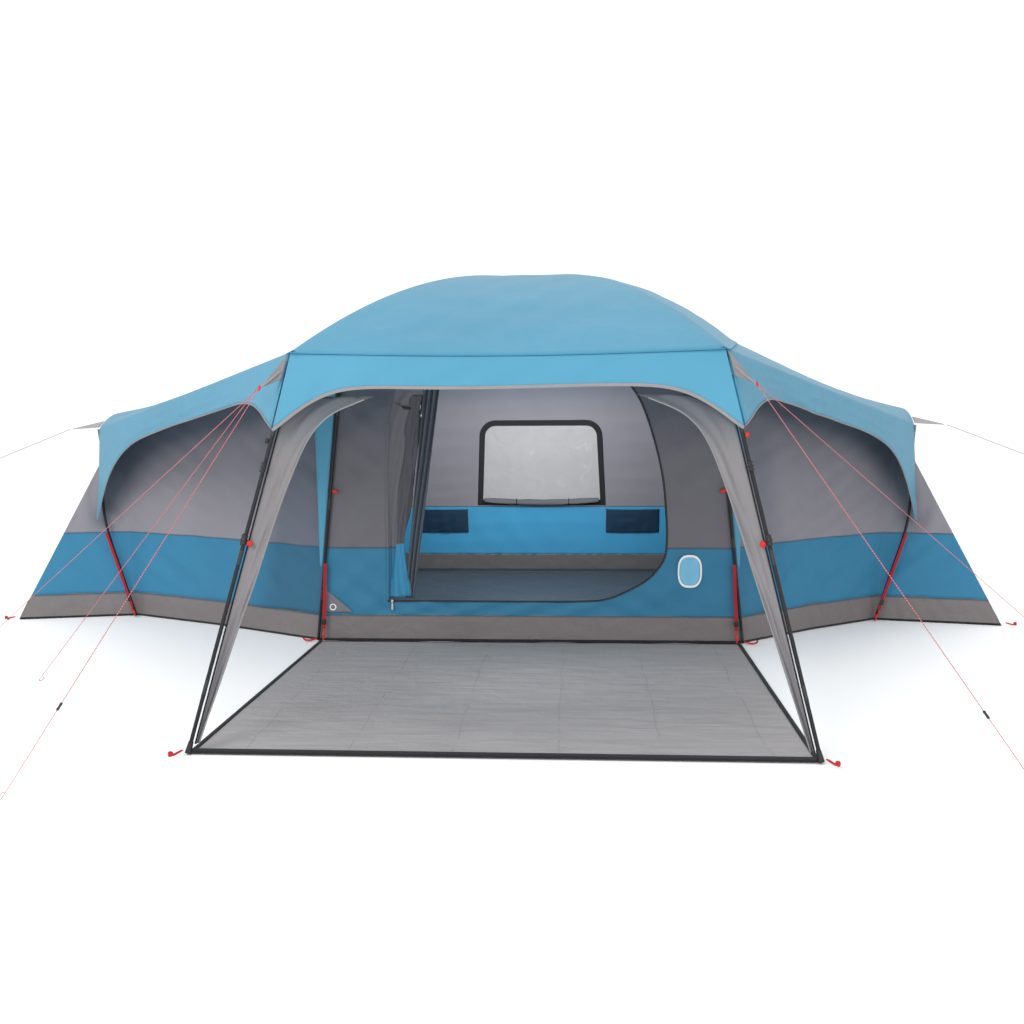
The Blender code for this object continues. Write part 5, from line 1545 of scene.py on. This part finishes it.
class TENT_OT_back_wall(bpy.types.Operator):
    """Sew the rear wall round its window."""

    bl_idname = "tent.back_wall"
    bl_label = "Back Wall"

    def execute(self, context):
        build_back_wall()
        return {"FINISHED"}


class TENT_OT_pod_walls(bpy.types.Operator):
    """Hang the walls round the pods."""

    bl_idname = "tent.pod_walls"
    bl_label = "Pod Walls"

    def execute(self, context):
        build_pod_walls()
        return {"FINISHED"}


class TENT_OT_tub(bpy.types.Operator):
    """Lay the groundsheet with its upstand."""

    bl_idname = "tent.tub"
    bl_label = "Groundsheet"

    def execute(self, context):
        build_tub()
        return {"FINISHED"}


class TENT_OT_poles(bpy.types.Operator):
    """Bend the main, arch and pod poles."""

    bl_idname = "tent.poles"
    bl_label = "Poles"

    def execute(self, context):
        build_poles()
        return {"FINISHED"}


class TENT_OT_porch(bpy.types.Operator):
    """Lay the porch mat and hang the gussets."""

    bl_idname = "tent.porch"
    bl_label = "Porch"

    def execute(self, context):
        build_porch()
        return {"FINISHED"}


class TENT_OT_tabs(bpy.types.Operator):
    """Sew the tabs that take the guy lines."""

    bl_idname = "tent.tabs"
    bl_label = "Guy Tabs"

    def execute(self, context):
        build_tabs()
        return {"FINISHED"}


class TENT_OT_straps(bpy.types.Operator):
    """Tension the red straps and push in the stakes."""

    bl_idname = "tent.straps"
    bl_label = "Straps and Stakes"

    def execute(self, context):
        build_straps()
        return {"FINISHED"}


class TENT_OT_clips(bpy.types.Operator):
    """Clip the gussets to the porch legs."""

    bl_idname = "tent.clips"
    bl_label = "Leg Clips"

    def execute(self, context):
        build_clips()
        return {"FINISHED"}


class TENT_OT_door(bpy.types.Operator):
    """Roll the door back and tie it."""

    bl_idname = "tent.door"
    bl_label = "Door"

    def execute(self, context):
        build_door()
        return {"FINISHED"}


class TENT_OT_window(bpy.types.Operator):
    """Fit the pane, its tape and the rolled blind."""

    bl_idname = "tent.window"
    bl_label = "Window"

    def execute(self, context):
        build_window()
        return {"FINISHED"}


class TENT_OT_pockets(bpy.types.Operator):
    """Sew the two pockets to the rear wall."""

    bl_idname = "tent.pockets"
    bl_label = "Pockets"

    def execute(self, context):
        build_pockets()
        return {"FINISHED"}


class TENT_OT_patches(bpy.types.Operator):
    """Sew the small reinforcements."""

    bl_idname = "tent.patches"
    bl_label = "Patches"

    def execute(self, context):
        build_patches()
        return {"FINISHED"}


OPERATORS = (TENT_OT_stage, TENT_OT_guys, TENT_OT_fly_roof, TENT_OT_valances, TENT_OT_pod_fly,
             TENT_OT_front_wall, TENT_OT_back_wall, TENT_OT_pod_walls, TENT_OT_tub, TENT_OT_poles,
             TENT_OT_porch, TENT_OT_tabs, TENT_OT_straps, TENT_OT_clips, TENT_OT_door,
             TENT_OT_window, TENT_OT_pockets, TENT_OT_patches)


class TENT_PT_panel(bpy.types.Panel):
    """Lists the steps of the tent's making and its colours."""

    bl_idname = "TENT_PT_panel"
    bl_label = "Tent"
    bl_space_type = "VIEW_3D"
    bl_region_type = "UI"
    bl_category = "Tent"

    def draw(self, context):
        column = self.layout.column(align=True)
        for op in OPERATORS:
            column.operator(op.bl_idname)
        for group, values in ((TentSizes, context.scene.tent_sizes), (TentColours, context.scene.tent_colours)):
            for key in group.__annotations__:
                self.layout.prop(values, key)


CLASSES = [TentSizes, TentColours, *OPERATORS, TENT_PT_panel]


def register():
    for cls in CLASSES:
        bpy.utils.register_class(cls)
    bpy.types.Scene.tent_sizes = bpy.props.PointerProperty(type=TentSizes)
    bpy.types.Scene.tent_colours = bpy.props.PointerProperty(type=TentColours)


def unregister():
    del bpy.types.Scene.tent_sizes
    del bpy.types.Scene.tent_colours
    for cls in reversed(CLASSES):
        bpy.utils.unregister_class(cls)


def main():
    """Make the tent step by step."""
    register()
    for op in OPERATORS:
        getattr(bpy.ops.tent, op.bl_idname.split(".")[1])()


if __name__ == "__main__":
    main()
